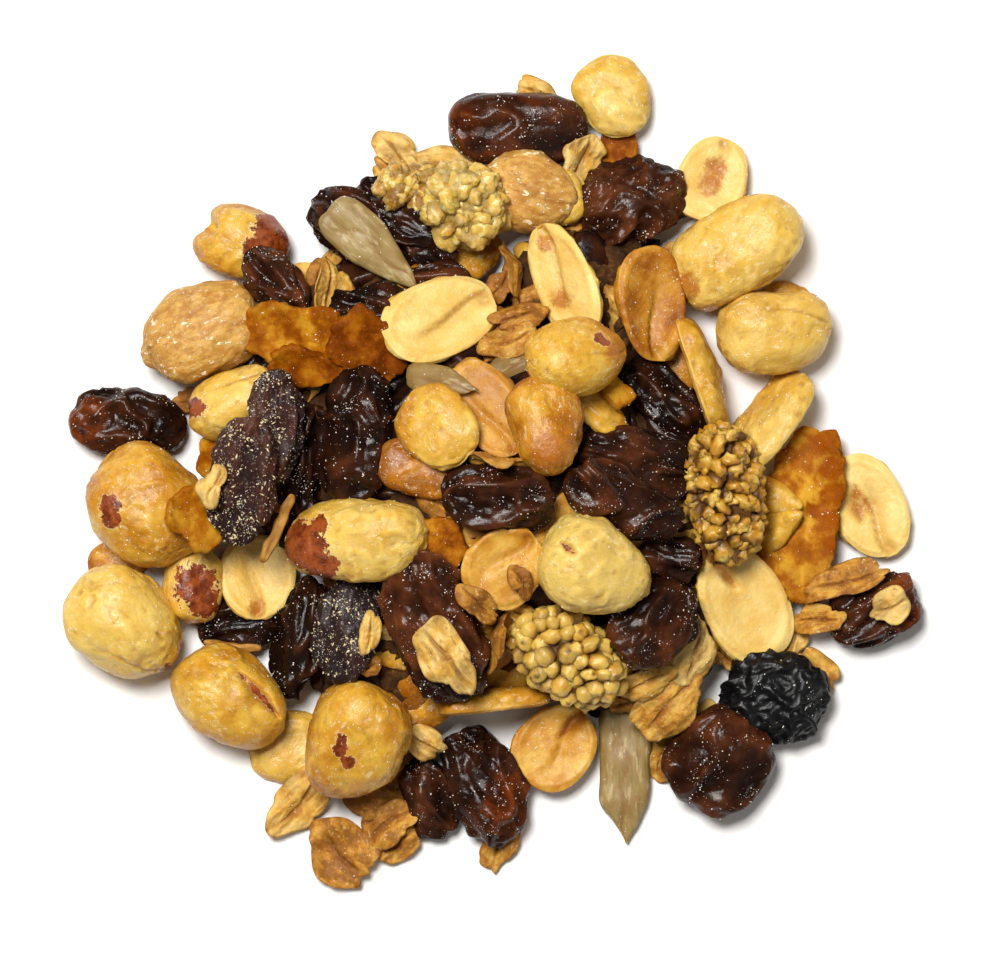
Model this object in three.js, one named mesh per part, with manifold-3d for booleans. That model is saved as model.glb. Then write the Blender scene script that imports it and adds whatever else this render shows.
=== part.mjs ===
// A loose heap of trail mix, as it lies when poured out on a bare surface: whole peanuts, peanut halves,
// raisins, a dried blueberry, dried mulberries, rolled oats, sunflower kernels and slabs of dried fruit,
// all joined to each other and to a low core. Millimetres, +Z up; the heap rests on z = 0.
import * as THREE from 'three';
import { mergeVertices } from 'three/addons/utils/BufferGeometryUtils.js';
import Module from 'manifold-3d';

const wasm = await Module();
wasm.setup();

// How the pieces come to rest.
const CELL = 0.5; // spacing of the height field
const FIELD = 96; // side of the square height field
const CONTACT = 0.12; // share of a piece's footprint that presses into what lies under it
const PRESS = 0.6; // how much deeper each piece is pressed, so that neighbours join
const LEAN = 0.7; // how far a piece follows the slope under it
const STEEPEST = 0.5; // steepest slope a piece lies at, rise over run
const FOOT = 0.25; // depth of the flat places the lowest pieces rest on
const CENTRE = [0.09, 0.48]; // middle of the heap's outline, in the places below

const LARGE_LENGTH = 10.5; // longer pieces have more sides
const RING_ELEVATION = 0.87; // of the rings above and below a piece's middle, in radians
const FACET_SWELL = 1.05; // makes up for the flat sides of a faceted ball, which lie inside the round one
const OAT_THICK = 1.1;
const SLAB_THICK = 2.6;
const HALF_DEPTH = 0.46; // thickness of a peanut half over its width

// Share of the width that is thickness, and squareness of the outline (2 is an ellipse).
const KINDS = {
  nut: { thick: 0.88, square: 2.3, form: nutForm },
  half: { thick: HALF_DEPTH, square: 2.3, form: halfForm },
  raisin: { thick: 0.6, square: 2.4, form: raisinForm },
  blueberry: { thick: 0.62, square: 2.5, form: raisinForm },
  mulberry: { thick: 0.72, square: 2.2, form: mulberryForm },
  seed: { thick: 0.42, square: 2.1, form: seedForm },
  stick: { thick: 1, square: 2, form: plainForm },
  slab: { thick: 0, square: 3, form: slabForm },
  oat: { thick: 0, square: 2, form: plainForm },
};

// Rounded mounds of the core: centre in x and y, radius in x and y, height.
const CORE = [
  [0, -1.5, 18.5, 20, 13],
  [-11, 15, 11, 8.5, 8],
  [9.5, 17, 9, 8.5, 7],
  [13.5, -15.5, 9.5, 8.5, 8],
  [-10, -16.5, 9, 8.5, 8.5],
  [-19.5, 4, 9, 11, 7],
  [18.5, -3, 7.5, 9.5, 7],
];

// The pieces, lowest first: kind, centre in x and y, length, width, turn of the long axis from +X in
// degrees, and where it matters the roll about the long axis, the squareness, or the bend of the axis.
const PIECES = [
  ['oat', 4.4, 38.2, 4.4, 3.0, -25],
  ['slab', 12.6, 33.3, 6.2, 3.8, 85],
  ['nut', -25.2, 23.2, 9.2, 7.0, -8],
  ['nut', -28.8, 14.1, 12.0, 9.2, 204, { square: 2.6 }],
  ['oat', -29.6, 7.4, 4.6, 3.2, 10],
  ['raisin', -36.4, 5.1, 11.4, 6.8, -6],
  ['half', -37.3, -8.7, 6.4, 4.4, 12, { roll: 180 }],
  ['nut', -36.7, -14.8, 12.4, 10.2, -38],
  ['raisin', -25.2, -14.7, 8.6, 5.4, 5],
  ['half', -20.3, -27.1, 8.0, 7.0, 0, { roll: 180 }],
  ['oat', -15.0, -37.8, 8.0, 6.6, -50],
  ['oat', -9.6, -36.8, 5.8, 3.8, 30],
  ['half', -6.2, -23.7, 6.2, 4.0, 40, { roll: 180 }],
  ['oat', 1.0, -36.5, 7.4, 3.4, 66],
  ['oat', 17.0, -28.4, 4.8, 4.4, 80],
  ['oat', 21.6, -24.8, 4.6, 4.4, 10],
  ['oat', 32.2, -19.7, 5.6, 4.2, -50],
  ['oat', 30.2, -15.9, 4.8, 3.0, 80],
  ['raisin', 38.0, -13.5, 10.0, 7.8, 28],
  ['half', 29.8, 17.1, 5.6, 4.0, -20, { roll: 180 }],
  ['half', -2.2, 21.8, 7.2, 4.6, 28, { roll: 180 }],
  ['seed', 2.8, 11.3, 6.0, 2.8, 28],
  ['raisin', 2.6, 34.5, 14.2, 7.6, -2, { square: 2.6 }],
  ['nut', 24.5, 22.4, 14.2, 8.8, 32],
  ['nut', 27.9, 14.3, 11.6, 8.2, 6],
  ['raisin', 14.2, 27.2, 11.0, 8.6, 12, { square: 2.8 }],
  ['half', 37.6, -3.2, 10.8, 7.4, -62],
  ['oat', 32.6, -14.5, 6.2, 3.0, 6],
  ['oat', 35.3, -10.6, 9.2, 3.6, 17],
  ['blueberry', 28.2, -22.1, 10.8, 9.0, -12],
  ['raisin', 22.6, -28.6, 10.6, 9.8, 50],
  ['oat', 20.0, -18.1, 6.8, 4.6, 72],
  ['oat', 15.3, -20.7, 6.2, 3.6, 25],
  ['raisin', -19.0, 1.3, 11.2, 4.8, 86],
  ['raisin', -12.0, 16.9, 8.6, 4.6, 4],
  ['raisin', -6.6, 22.3, 6.0, 4.8, -30],
  ['raisin', -19.2, -16.3, 12.2, 5.6, 78],
  ['raisin', -6.2, -32.2, 8.6, 5.2, -75],
  ['nut', -34.3, -3.3, 12.2, 11.0, -40],
  ['nut', -29.9, -11.0, 7.6, 6.0, 82],
  ['nut', -25.6, 7.3, 9.6, 6.2, 22],
  ['nut', -26.1, -22.2, 12.0, 9.0, -36],
  ['oat', -19.3, -32.7, 8.4, 5.0, 48],
  ['oat', -6.6, -26.7, 4.4, 3.6, -40],
  ['oat', -11.9, -31.0, 6.6, 6.8, -10],
  ['oat', -10.2, -34.8, 7.2, 4.2, 35],
  ['oat', -9.5, 32.1, 6.0, 3.6, -42],
  ['oat', 8.8, 31.4, 5.8, 4.6, 68],
  ['oat', 1.8, 13.2, 6.4, 3.6, 18],
  ['slab', -27.6, 1.8, 5.4, 3.2, 75],
  ['raisin', -21.4, 18.7, 9.0, 5.8, -48],
  ['half', 12.1, 37.8, 8.4, 7.0, -62, { roll: 180 }],
  ['half', 21.9, 29.3, 8.8, 7.0, 70],
  ['half', 15.6, 17.0, 11.6, 7.4, -82],
  ['raisin', 17.8, -8.2, 6.2, 5.0, -20],
  ['slab', 31.1, -4.2, 17.4, 7.6, 84],
  ['raisin', 16.0, -14.7, 10.4, 7.6, 40],
  ['raisin', 17.0, 7.3, 11.0, 6.0, -46],
  ['raisin', -9.4, 25.9, 10.6, 5.8, -38],
  ['raisin', -14.6, 24.9, 8.6, 6.8, -22],
  ['nut', 3.5, 28.3, 9.8, 7.8, -14],
  ['oat', -4.2, 30.6, 7.4, 4.6, -10],
  ['oat', -16.1, 18.5, 5.8, 4.6, 86, { roll: 65 }],
  ['slab', -19.4, 14.1, 10.8, 6.2, -4],
  ['slab', -12.6, 12.5, 8.0, 6.2, -58],
  ['slab', -29.4, -4.3, 6.6, 5.4, -35],
  ['half', -0.4, 6.3, 10.8, 6.4, -58],
  ['oat', 2.1, 20.0, 6.6, 4.8, -72, { roll: 65 }],
  ['oat', 2.7, 15.6, 6.0, 3.0, 12],
  ['oat', 0.4, 0.8, 6.2, 4.8, -10, { roll: 65 }],
  ['slab', -4.9, -6.5, 5.2, 4.0, -60],
  ['half', -23.4, -10.4, 8.8, 7.6, 268],
  ['raisin', -14.2, -15.3, 10.8, 7.0, 82],
  ['nut', -13.5, -26.3, 12.2, 10.0, 248],
  ['raisin', -0.6, -31.1, 12.2, 7.8, -64],
  ['half', 6.3, -27.2, 9.0, 7.8, 48],
  ['half', 0.0, -22.4, 11.0, 7.2, 4, { roll: 65 }],
  ['seed', 13.3, -29.7, 14.6, 5.2, -89],
  ['half', 28.4, -2.4, 5.6, 3.2, -20, { roll: 180 }],
  ['half', 28.4, -5.3, 5.8, 3.2, 28, { roll: 180 }],
  ['half', 27.4, 5.7, 11.4, 8.0, 52, { roll: 120 }],
  ['half', 21.3, 10.3, 11.6, 8.6, -72, { roll: 100 }],
  ['oat', 17.5, -23.1, 8.4, 5.8, 50],
  ['half', 24.9, -12.8, 12.6, 8.6, 122],
  ['slab', -18.0, 10.8, 8.8, 3.6, -4],
  ['raisin', -21.5, 4.7, 11.2, 5.8, 84],
  ['raisin', -13.4, 3.9, 14.2, 8.0, 84],
  ['nut', -13.4, -6.5, 14.6, 8.2, 8],
  ['raisin', -5.6, -14.8, 16.4, 9.2, -72],
  ['seed', -4.8, 9.1, 8.4, 3.0, -14],
  ['half', -7.0, 0.4, 9.4, 5.4, -18, { roll: 180 }],
  ['half', 1.2, -9.0, 8.4, 7.6, 50],
  ['raisin', 0.5, -2.5, 11.2, 6.8, -4],
  ['half', 11.1, 5.9, 6.4, 4.4, -42, { roll: 160 }],
  ['slab', 12.1, 8.2, 3.6, 2.6, -50],
  ['raisin', 14.5, 1.2, 12.4, 6.4, -14],
  ['oat', -1.4, -12.7, 5.8, 2.8, -42],
  ['oat', 1.0, -16.5, 7.6, 4.8, 74, { roll: 55 }],
  ['oat', 39.6, -13.1, 4.2, 3.8, 20],
  ['oat', -12.1, -15.7, 4.6, 2.2, 78],
  ['half', 7.5, 19.2, 12.4, 6.8, 114, { roll: -30 }],
  ['raisin', -24.5, -0.7, 13.8, 6.8, 80],
  ['half', -5.5, 4.7, 9.0, 7.4, -42, { roll: 180 }],
  ['nut', 5.1, 4.9, 10.0, 7.6, -80],
  ['nut', 8.1, 11.5, 10.0, 7.6, 8],
  ['nut', 10.0, -9.2, 12.0, 9.0, -22],
  ['raisin', 13.0, -2.7, 13.0, 6.4, -28],
  ['mulberry', 23.2, -1.8, 13.4, 8.0, -82],
  ['mulberry', 7.5, -18.1, 12.6, 8.4, -38],
  ['mulberry', -7.4, 28.4, 8.0, 4.4, -8],
  ['mulberry', -2.6, 26.8, 8.4, 7.8, -45],
  ['half', -5.3, 15.3, 12.2, 8.0, 24],
  ['seed', -11.8, 22.5, 12.0, 5.2, -43],
  ['oat', -4.6, -18.0, 8.8, 5.0, -58],
  ['oat', 2.9, -10.6, 4.2, 2.4, -60],
  ['oat', -27.5, -1.2, 4.6, 2.8, 72],
];

const DEGREE = Math.PI / 180;

// A fixed number from 0 to 1 for a seed.
function chance(seed) {
  const s = Math.sin(seed * 12.9898) * 43758.5453;
  return s - Math.floor(s);
}

// A slow wave over directions, about -1 to 1, different for each seed.
function wave(n, seed, pace) {
  const phase = 2 * Math.PI * chance(seed);
  const turn = 2 * Math.PI * chance(seed + 0.5);
  const along = Math.sin(pace * n.x + phase);
  const across = Math.sin(pace * n.y * 1.3 + turn);
  const up = Math.sin(pace * n.z * 1.1 - phase);
  return (along + across + up) / 3;
}

// Each form takes a point q of the unit body, and its direction n, and shapes q in place.
function plainForm() {}

// Whole peanut: plump, a little narrower and pointed at the germ end, +X.
function nutForm(q, n, piece) {
  const taper = 1 - 0.09 * q.x;
  q.y *= taper;
  q.z *= taper;
  q.multiplyScalar(1 + 0.03 * wave(n, piece.seed, 4));
  if (n.x > 0.95) q.x += 0.03;
}

// Peanut half: a dome below and a flat face above with a groove along it.
function halfForm(q, n, piece) {
  q.y *= 1 - 0.09 * q.x;
  q.multiplyScalar(1 + 0.03 * wave(n, piece.seed, 4));
  if (q.z > 0) {
    const groove = Math.exp(-((q.y / 0.3) ** 2)) * (1 - q.x * q.x);
    q.z = 0.12 * q.z - 0.3 * groove;
  }
}

// Raisin: folds along the length that twist a little round it.
function raisinForm(q, n, piece) {
  const round = Math.atan2(n.z, n.y);
  const fold = Math.sin(5 * round + 2.5 * n.x + 6 * chance(piece.seed));
  const crease = Math.sin(8 * round - 3 * n.x + 6 * chance(piece.seed + 0.3));
  const swell = 1 + (0.07 * fold + 0.04 * crease) * (1 - n.x * n.x);
  q.y *= swell;
  q.z *= swell;
  q.multiplyScalar(1 + 0.04 * wave(n, piece.seed, 3.5));
}

// Mulberry: small round drupelets in even spirals over the fruit.
const DRUPELETS = 46;
const GOLDEN_ANGLE = Math.PI * (3 - Math.sqrt(5));
const drupelets = Array.from({ length: DRUPELETS }, (_, i) => {
  const x = 1 - (2 * i + 1) / DRUPELETS;
  const r = Math.sqrt(1 - x * x);
  return new THREE.Vector3(x, r * Math.cos(i * GOLDEN_ANGLE), r * Math.sin(i * GOLDEN_ANGLE));
});

function mulberryForm(q, n) {
  const spacing = Math.sqrt((4 * Math.PI) / DRUPELETS);
  const nearest = Math.min(...drupelets.map((d) => d.distanceTo(n))) / spacing;
  q.multiplyScalar(1.05 - 0.42 * nearest * nearest);
}

// Sunflower kernel: blunt behind and drawn out to a point at +X.
function seedForm(q) {
  const point = 1 - 0.45 * Math.max(0, q.x) ** 1.5;
  q.y *= point;
  q.z *= point;
}

// Slab of dried fruit: flat, with a ragged edge and a slow sag.
function slabForm(q, n, piece) {
  const round = Math.atan2(n.y, n.x);
  const bays = 0.05 * Math.sin(3 * round + 6 * chance(piece.seed));
  const tears = 0.04 * Math.sin(7 * round + piece.seed);
  const ragged = 1 + bays + tears;
  q.x *= ragged;
  q.y *= ragged;
  q.z += 0.25 * wave(q, piece.seed, 3);
}

// Triangles between a ring of points and one of twice as many, both counted from their first point.
function ringBand(inner, outer, sectors) {
  const triangles = [];
  for (let i = 0; i < sectors; i++) {
    const next = (i + 1) % sectors;
    const [a, b] = [inner + i, inner + next];
    const [c, d, e] = [outer + 2 * i, outer + 2 * i + 1, outer + 2 * next];
    triangles.push(a, c, d, a, d, b, b, d, e);
  }
  return triangles;
}

function ringFan(pole, ring, sectors) {
  return Array.from({ length: sectors }, (_, i) => [pole, ring + i, ring + ((i + 1) % sectors)]).flat();
}

// The same triangles seen from the other side.
function turnedOver(triangles) {
  return triangles.map((_, i) => triangles[i % 3 === 0 ? i : i % 3 === 1 ? i + 1 : i - 1]);
}

// Unit ball with the most points round its middle, where its outline is seen from above.
function ballGeometry(sectors) {
  const points = [0, 0, 1, 0, 0, -1];
  function addRing(count, elevation) {
    const first = points.length / 3;
    for (let i = 0; i < count; i++) {
      const angle = (2 * Math.PI * i) / count;
      const reach = Math.cos(elevation);
      points.push(reach * Math.cos(angle), reach * Math.sin(angle), Math.sin(elevation));
    }
    return first;
  }
  const upper = addRing(sectors / 2, RING_ELEVATION);
  const middle = addRing(sectors, 0);
  const lower = addRing(sectors / 2, -RING_ELEVATION);
  const top = [...ringFan(0, upper, sectors / 2), ...ringBand(upper, middle, sectors / 2)];
  const bottom = [...ringFan(1, lower, sectors / 2), ...ringBand(lower, middle, sectors / 2)];
  const geometry = new THREE.BufferGeometry();
  geometry.setAttribute('position', new THREE.Float32BufferAttribute(points, 3));
  geometry.setIndex([...top, ...turnedOver(bottom)]);
  return geometry;
}

// Body of any plump kind: a squared-off ball in the piece's own frame, shaped by its form.
function plumpGeometry(piece) {
  const { form } = KINDS[piece.kind];
  const geometry = ballGeometry(piece.length < LARGE_LENGTH ? 12 : 16);
  const position = geometry.getAttribute('position');
  const power = piece.square;
  const n = new THREE.Vector3();
  const q = new THREE.Vector3();
  for (let i = 0; i < position.count; i++) {
    n.fromBufferAttribute(position, i).normalize();
    const size = Math.abs(n.x) ** power + Math.abs(n.y) ** power + Math.abs(n.z) ** power;
    q.copy(n).multiplyScalar(size ** (-1 / power));
    form(q, n, piece);
    q.y += piece.bend * (q.x * q.x - 0.4);
    q.multiplyScalar(FACET_SWELL / 2);
    position.setXYZ(i, q.x * piece.length, q.y * piece.width, q.z * piece.thick);
  }
  return geometry;
}

// Rolled oat: a thin wavy oval with a ragged edge; both faces have the same triangles and share the rim.
const OAT_SECTORS = 7;
const OAT_FLAT = 0.62; // share of the way to the rim where an oat starts to thin out
function oatGeometry(piece) {
  const points = [];
  const triangles = [];
  const curl = piece.edge ? 0.3 : 0.08;
  function addPoint(x, y, lift) {
    const sag = 0.06 * (Math.sin(4 * x + piece.seed) + Math.cos(3 * y + piece.seed));
    const z = piece.width * (sag + curl * y * y) + lift;
    points.push((x * piece.length) / 2, (y * piece.width) / 2, z);
  }
  function ring(share, lift) {
    for (let i = 0; i < OAT_SECTORS; i++) {
      const angle = (2 * Math.PI * i) / OAT_SECTORS;
      const bays = 0.07 * Math.sin(3 * angle + piece.seed);
      const tears = 0.05 * Math.sin(5 * angle + 2 * piece.seed);
      const reach = share * (1 + bays + tears);
      addPoint(reach * Math.cos(angle), reach * Math.sin(angle), lift);
    }
  }
  const half = piece.thick / 2;
  addPoint(0, 0, half);
  addPoint(0, 0, -half);
  ring(OAT_FLAT, half);
  ring(OAT_FLAT, -half);
  ring(1, 0);
  const top = 2;
  const bottom = top + OAT_SECTORS;
  const rim = bottom + OAT_SECTORS;
  for (let i = 0; i < OAT_SECTORS; i++) {
    const j = (i + 1) % OAT_SECTORS;
    triangles.push(0, top + i, top + j, 1, bottom + j, bottom + i);
    triangles.push(top + i, rim + i, rim + j, top + i, rim + j, top + j);
    triangles.push(bottom + i, rim + j, rim + i, bottom + i, bottom + j, rim + j);
  }
  const geometry = new THREE.BufferGeometry();
  geometry.setAttribute('position', new THREE.Float32BufferAttribute(points, 3));
  geometry.setIndex(triangles);
  return geometry;
}

// A row of PIECES with its thickness and seed worked out.
function readPiece([kind, x, y, length, width, turn, extra = {}], index) {
  const { thick, square } = KINDS[kind];
  const fixed = { oat: OAT_THICK, slab: SLAB_THICK };
  const roll = extra.roll ?? 0;
  const piece = { kind, x, y, length, width, turn, roll, square, bend: 0, seed: index + 1, ...extra };
  piece.thick = fixed[kind] ?? thick * width;
  piece.edge = Math.abs(Math.sin(roll * DEGREE)) > 0.7;
  return piece;
}

// Half the width and half the height a piece shows once it is rolled about its long axis.
function seenSize(piece) {
  const c = Math.abs(Math.cos(piece.roll * DEGREE));
  const s = Math.abs(Math.sin(piece.roll * DEGREE));
  return {
    across: Math.hypot(piece.width * c, piece.thick * s) / 2,
    up: Math.hypot(piece.width * s, piece.thick * c) / 2,
  };
}

const oatRise = (rho) => Math.min(1, (1 - rho) / (1 - OAT_FLAT));

// Lower and upper surface of a piece, over its half height, at a share rho of the way to its outline.
function surfaces(piece, rho) {
  const dome = (1 - rho ** piece.square) ** (1 / piece.square);
  const flatFace = piece.kind === 'half' && !piece.edge;
  if (piece.kind === 'oat' && !piece.edge) return [-oatRise(rho), oatRise(rho)];
  if (flatFace) return Math.cos(piece.roll * DEGREE) > 0 ? [1 - 2 * dome, 1] : [-1, 2 * dome - 1];
  return [-dome, dome];
}

// Height field of the ground: the mounds of the core, with each piece added as it is laid.
const cells = Math.round(FIELD / CELL);
const placeOf = (i) => (i + 0.5) * CELL - FIELD / 2;
const ground = new Float64Array(cells * cells);

function mound(x, y, [cx, cy, rx, ry, height]) {
  const rest = 1 - ((x - cx) / rx) ** 2 - ((y - cy) / ry) ** 2;
  return rest > 0 ? height * Math.sqrt(rest) : 0;
}

for (let row = 0; row < cells; row++) {
  for (let column = 0; column < cells; column++) {
    const heights = CORE.map((blob) => mound(placeOf(column), placeOf(row), blob));
    ground[row * cells + column] = Math.max(...heights);
  }
}

// Cells under a piece, with the offset from its centre and its surfaces there.
function footprint(piece) {
  const { across, up } = seenSize(piece);
  const c = Math.cos(piece.turn * DEGREE);
  const s = Math.sin(piece.turn * DEGREE);
  const under = [];
  for (let row = 0; row < cells; row++) {
    const dy = placeOf(row) - piece.y;
    if (Math.abs(dy) > piece.length) continue;
    for (let column = 0; column < cells; column++) {
      const dx = placeOf(column) - piece.x;
      if (Math.abs(dx) > piece.length) continue;
      const rho = Math.hypot((dx * c + dy * s) / (piece.length / 2), (dy * c - dx * s) / across);
      if (rho > 0.97) continue;
      const [low, high] = surfaces(piece, rho);
      under.push({ cell: row * cells + column, dx, dy, low: low * up, high: high * up });
    }
  }
  return under;
}

// Slope of the ground under a piece: the least-squares plane through its cells.
function slopeUnder(under) {
  const mean = (f) => under.reduce((sum, p) => sum + f(p), 0) / under.length;
  const height = (p) => ground[p.cell];
  const [mx, my, mz] = [mean((p) => p.dx), mean((p) => p.dy), mean(height)];
  const xx = mean((p) => (p.dx - mx) ** 2);
  const yy = mean((p) => (p.dy - my) ** 2);
  const xy = mean((p) => (p.dx - mx) * (p.dy - my));
  const xz = mean((p) => (p.dx - mx) * (height(p) - mz));
  const yz = mean((p) => (p.dy - my) * (height(p) - mz));
  const whole = xx * yy - xy * xy;
  const slope = new THREE.Vector2((xz * yy - yz * xy) / whole, (yz * xx - xz * xy) / whole);
  return slope.multiplyScalar(LEAN).clampLength(0, STEEPEST);
}

// Lays a piece: it leans with the ground and sinks until the given share of its footprint is in contact.
function settle(piece) {
  const under = footprint(piece);
  const slope = slopeUnder(under);
  const plane = (p) => slope.x * p.dx + slope.y * p.dy;
  const contacts = under.map((p) => ground[p.cell] - p.low - plane(p)).sort((a, b) => a - b);
  const pressed = contacts[Math.floor((1 - CONTACT) * (contacts.length - 1))];
  const floor = Math.max(...under.map((p) => -p.low - plane(p))) - FOOT;
  piece.z = Math.max(pressed - PRESS, floor);
  piece.slope = slope;
  for (const p of under) {
    ground[p.cell] = Math.max(ground[p.cell], piece.z + p.high + plane(p));
  }
}

// Solid of a three.js geometry.
function solidOf(geometry) {
  const bare = geometry.clone();
  bare.deleteAttribute('normal');
  bare.deleteAttribute('uv');
  const merged = mergeVertices(bare, 1e-4);
  return new wasm.Manifold(
    new wasm.Mesh({
      numProp: 3,
      vertProperties: merged.getAttribute('position').array,
      triVerts: new Uint32Array(merged.getIndex().array),
    }),
  );
}

// A piece turned about its long axis, then about the vertical, then leaned with the ground.
function placedSolid(piece) {
  const geometry = piece.kind === 'oat' ? oatGeometry(piece) : plumpGeometry(piece);
  geometry.computeBoundingBox();
  const middle = geometry.boundingBox.getCenter(new THREE.Vector3());
  geometry.translate(0, 0, -middle.z);
  geometry.rotateX(piece.roll * DEGREE);
  geometry.rotateZ(piece.turn * DEGREE);
  const up = new THREE.Vector3(-piece.slope.x, -piece.slope.y, 1).normalize();
  const lean = new THREE.Quaternion().setFromUnitVectors(new THREE.Vector3(0, 0, 1), up);
  geometry.applyQuaternion(lean);
  geometry.translate(piece.x - CENTRE[0], piece.y - CENTRE[1], piece.z + FOOT);
  return solidOf(geometry);
}

function coreSolids() {
  return CORE.map(([x, y, rx, ry, height]) => {
    const geometry = ballGeometry(16);
    geometry.scale(rx * FACET_SWELL, ry * FACET_SWELL, height * FACET_SWELL);
    geometry.translate(x - CENTRE[0], y - CENTRE[1], FOOT);
    return solidOf(geometry);
  });
}

// Everything below the surface the heap rests on is cut off flat.
function belowFloor() {
  const depth = 40;
  const box = new THREE.BoxGeometry(2 * FIELD, 2 * FIELD, depth);
  box.translate(0, 0, -depth / 2);
  return solidOf(box);
}

// Outer shell of the largest body, so that hollows sealed by the fusing are filled.
function largestBody(solid) {
  return solid.decompose().reduce((best, body) => (body.volume() > best.volume() ? body : best));
}

function meshGeometry(solid) {
  const { vertProperties, triVerts } = solid.getMesh();
  const geometry = new THREE.BufferGeometry();
  geometry.setAttribute('position', new THREE.BufferAttribute(vertProperties, 3));
  geometry.setIndex(new THREE.BufferAttribute(triVerts, 1));
  geometry.computeVertexNormals();
  return geometry;
}

const pieces = PIECES.map(readPiece);
pieces.forEach(settle);
const joined = wasm.Manifold.union([...coreSolids(), ...pieces.map(placedSolid)]);
const heap = largestBody(joined.subtract(belowFloor()));

const mixed = new THREE.MeshStandardMaterial({ color: '#b98a4a', roughness: 0.55, metalness: 0 });
const mesh = new THREE.Mesh(meshGeometry(heap), mixed);
mesh.name = 'trail_mix_heap';

const group = new THREE.Group();
group.add(mesh);
export default group;
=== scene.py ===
"""Dresses the heap of trail mix: every piece is modelled on its own and lies where the solid heap has it."""
import math
from functools import partial
import bpy
import numpy as np
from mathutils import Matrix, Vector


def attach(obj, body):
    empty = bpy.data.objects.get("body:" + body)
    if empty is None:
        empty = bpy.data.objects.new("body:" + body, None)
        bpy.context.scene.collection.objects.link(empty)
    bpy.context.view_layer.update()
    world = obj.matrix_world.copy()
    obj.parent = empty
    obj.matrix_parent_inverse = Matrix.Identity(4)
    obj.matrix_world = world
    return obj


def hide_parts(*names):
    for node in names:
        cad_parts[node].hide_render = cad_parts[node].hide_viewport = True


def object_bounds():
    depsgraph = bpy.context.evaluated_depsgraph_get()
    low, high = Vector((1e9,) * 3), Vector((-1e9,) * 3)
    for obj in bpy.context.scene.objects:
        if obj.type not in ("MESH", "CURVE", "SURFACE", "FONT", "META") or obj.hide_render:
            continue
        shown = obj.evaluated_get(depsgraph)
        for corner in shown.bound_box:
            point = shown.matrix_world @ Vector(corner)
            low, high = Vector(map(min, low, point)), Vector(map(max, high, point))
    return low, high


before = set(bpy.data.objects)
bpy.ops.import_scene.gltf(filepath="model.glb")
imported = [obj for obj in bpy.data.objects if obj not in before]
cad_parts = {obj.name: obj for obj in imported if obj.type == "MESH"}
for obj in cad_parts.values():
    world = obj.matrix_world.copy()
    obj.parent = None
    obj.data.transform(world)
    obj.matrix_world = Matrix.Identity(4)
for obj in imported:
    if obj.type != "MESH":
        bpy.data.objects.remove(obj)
cad_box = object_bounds()
NODE = "trail_mix_heap"
MM = 0.001
DEGREE = math.pi / 180

# How the pieces come to rest, in millimetres, as in the part's own source.
CELL = 0.5
FIELD = 96
CONTACT = 0.12
PRESS = 0.6
LEAN = 0.7
STEEPEST = 0.5
FOOT = 0.25
INNER = 0.97
OAT_FLAT = 0.62
CENTRE = np.array([0.09, 0.48, 0])

ON_EDGE = 0.7  # sine of the roll from which a piece stands on its edge
BOX_GAP = 0.03  # how far inside the box of the solid everything stays
BOX_EASE = 0.4  # depth over which points are eased back
FLOOR_GAP = 0.02  # how far above the floor everything stays
DROP = 0.5  # how far above its solid a flat piece is dropped from
REST = 0.02  # share of a dropped piece that touches what is under it

# Thickness over width, squareness of the outline (2 is an ellipse), and size of triangles in millimetres.
KINDS = {
    "nut": (0.88, 2.3, 0.27),
    "half": (0.46, 2.3, 0.27),
    "raisin": (0.6, 2.4, 0.265),
    "blueberry": (0.62, 2.5, 0.19),
    "mulberry": (0.72, 2.2, 0.5),
    "kernel": (0.42, 2.1, 0.2),
    "stick": (1, 3.5, 0.16),
    "slab": (0, 3, 0.21),
    "oat": (0, 2, 0.2),
}
FLAT = {"oat": 1.1, "slab": 2.6}  # thickness of the kinds that are the same all over

# What a piece is like where nothing else is said of it.
USUAL = {
    "roll": 0, "z": 0, "lift": 0,  # turn about its long axis, height, and lift from where it settles
    "coarse": 1,  # size of its triangles over the usual
    "blunt": None, "point": 0.09, "beak": 0.03, "seam": 1,  # a peanut's ends and seam
    "hollow": 0.5, "groove": 0.4, "lip": 0,  # the face of a half
    "folds": 1, "wrinkles": 0.8, "strands": 0.36,  # a raisin's relief, drawn out along it by small strands
    "taper": 0.1, "waist": 1.2,  # how a kernel draws in to its point
    "drupelet": 1.6, "torn": 0,  # a mulberry's drupelets and how ragged they are
    "tan": 0, "dust": 0,  # how tan and how dusty it is
    "skin": (), "toast": (), "glow": (), "dents": (), "cuts": (),
}

# Mounds of the core: centre in x and y, radius in x and y, height.
CORE = [
    (0, -1.5, 18.5, 20, 13),
    (-11, 15, 11, 8.5, 8),
    (9.5, 17, 9, 8.5, 7),
    (13.5, -15.5, 9.5, 8.5, 8),
    (-10, -16.5, 9, 8.5, 8.5),
    (-19.5, 4, 9, 11, 7),
    (18.5, -3, 7.5, 9.5, 7),
]


def chance(seed):
    """A fixed number from 0 to 1 for a seed."""
    s = math.sin(seed * 12.9898) * 43758.5453
    return s - math.floor(s)


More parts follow.
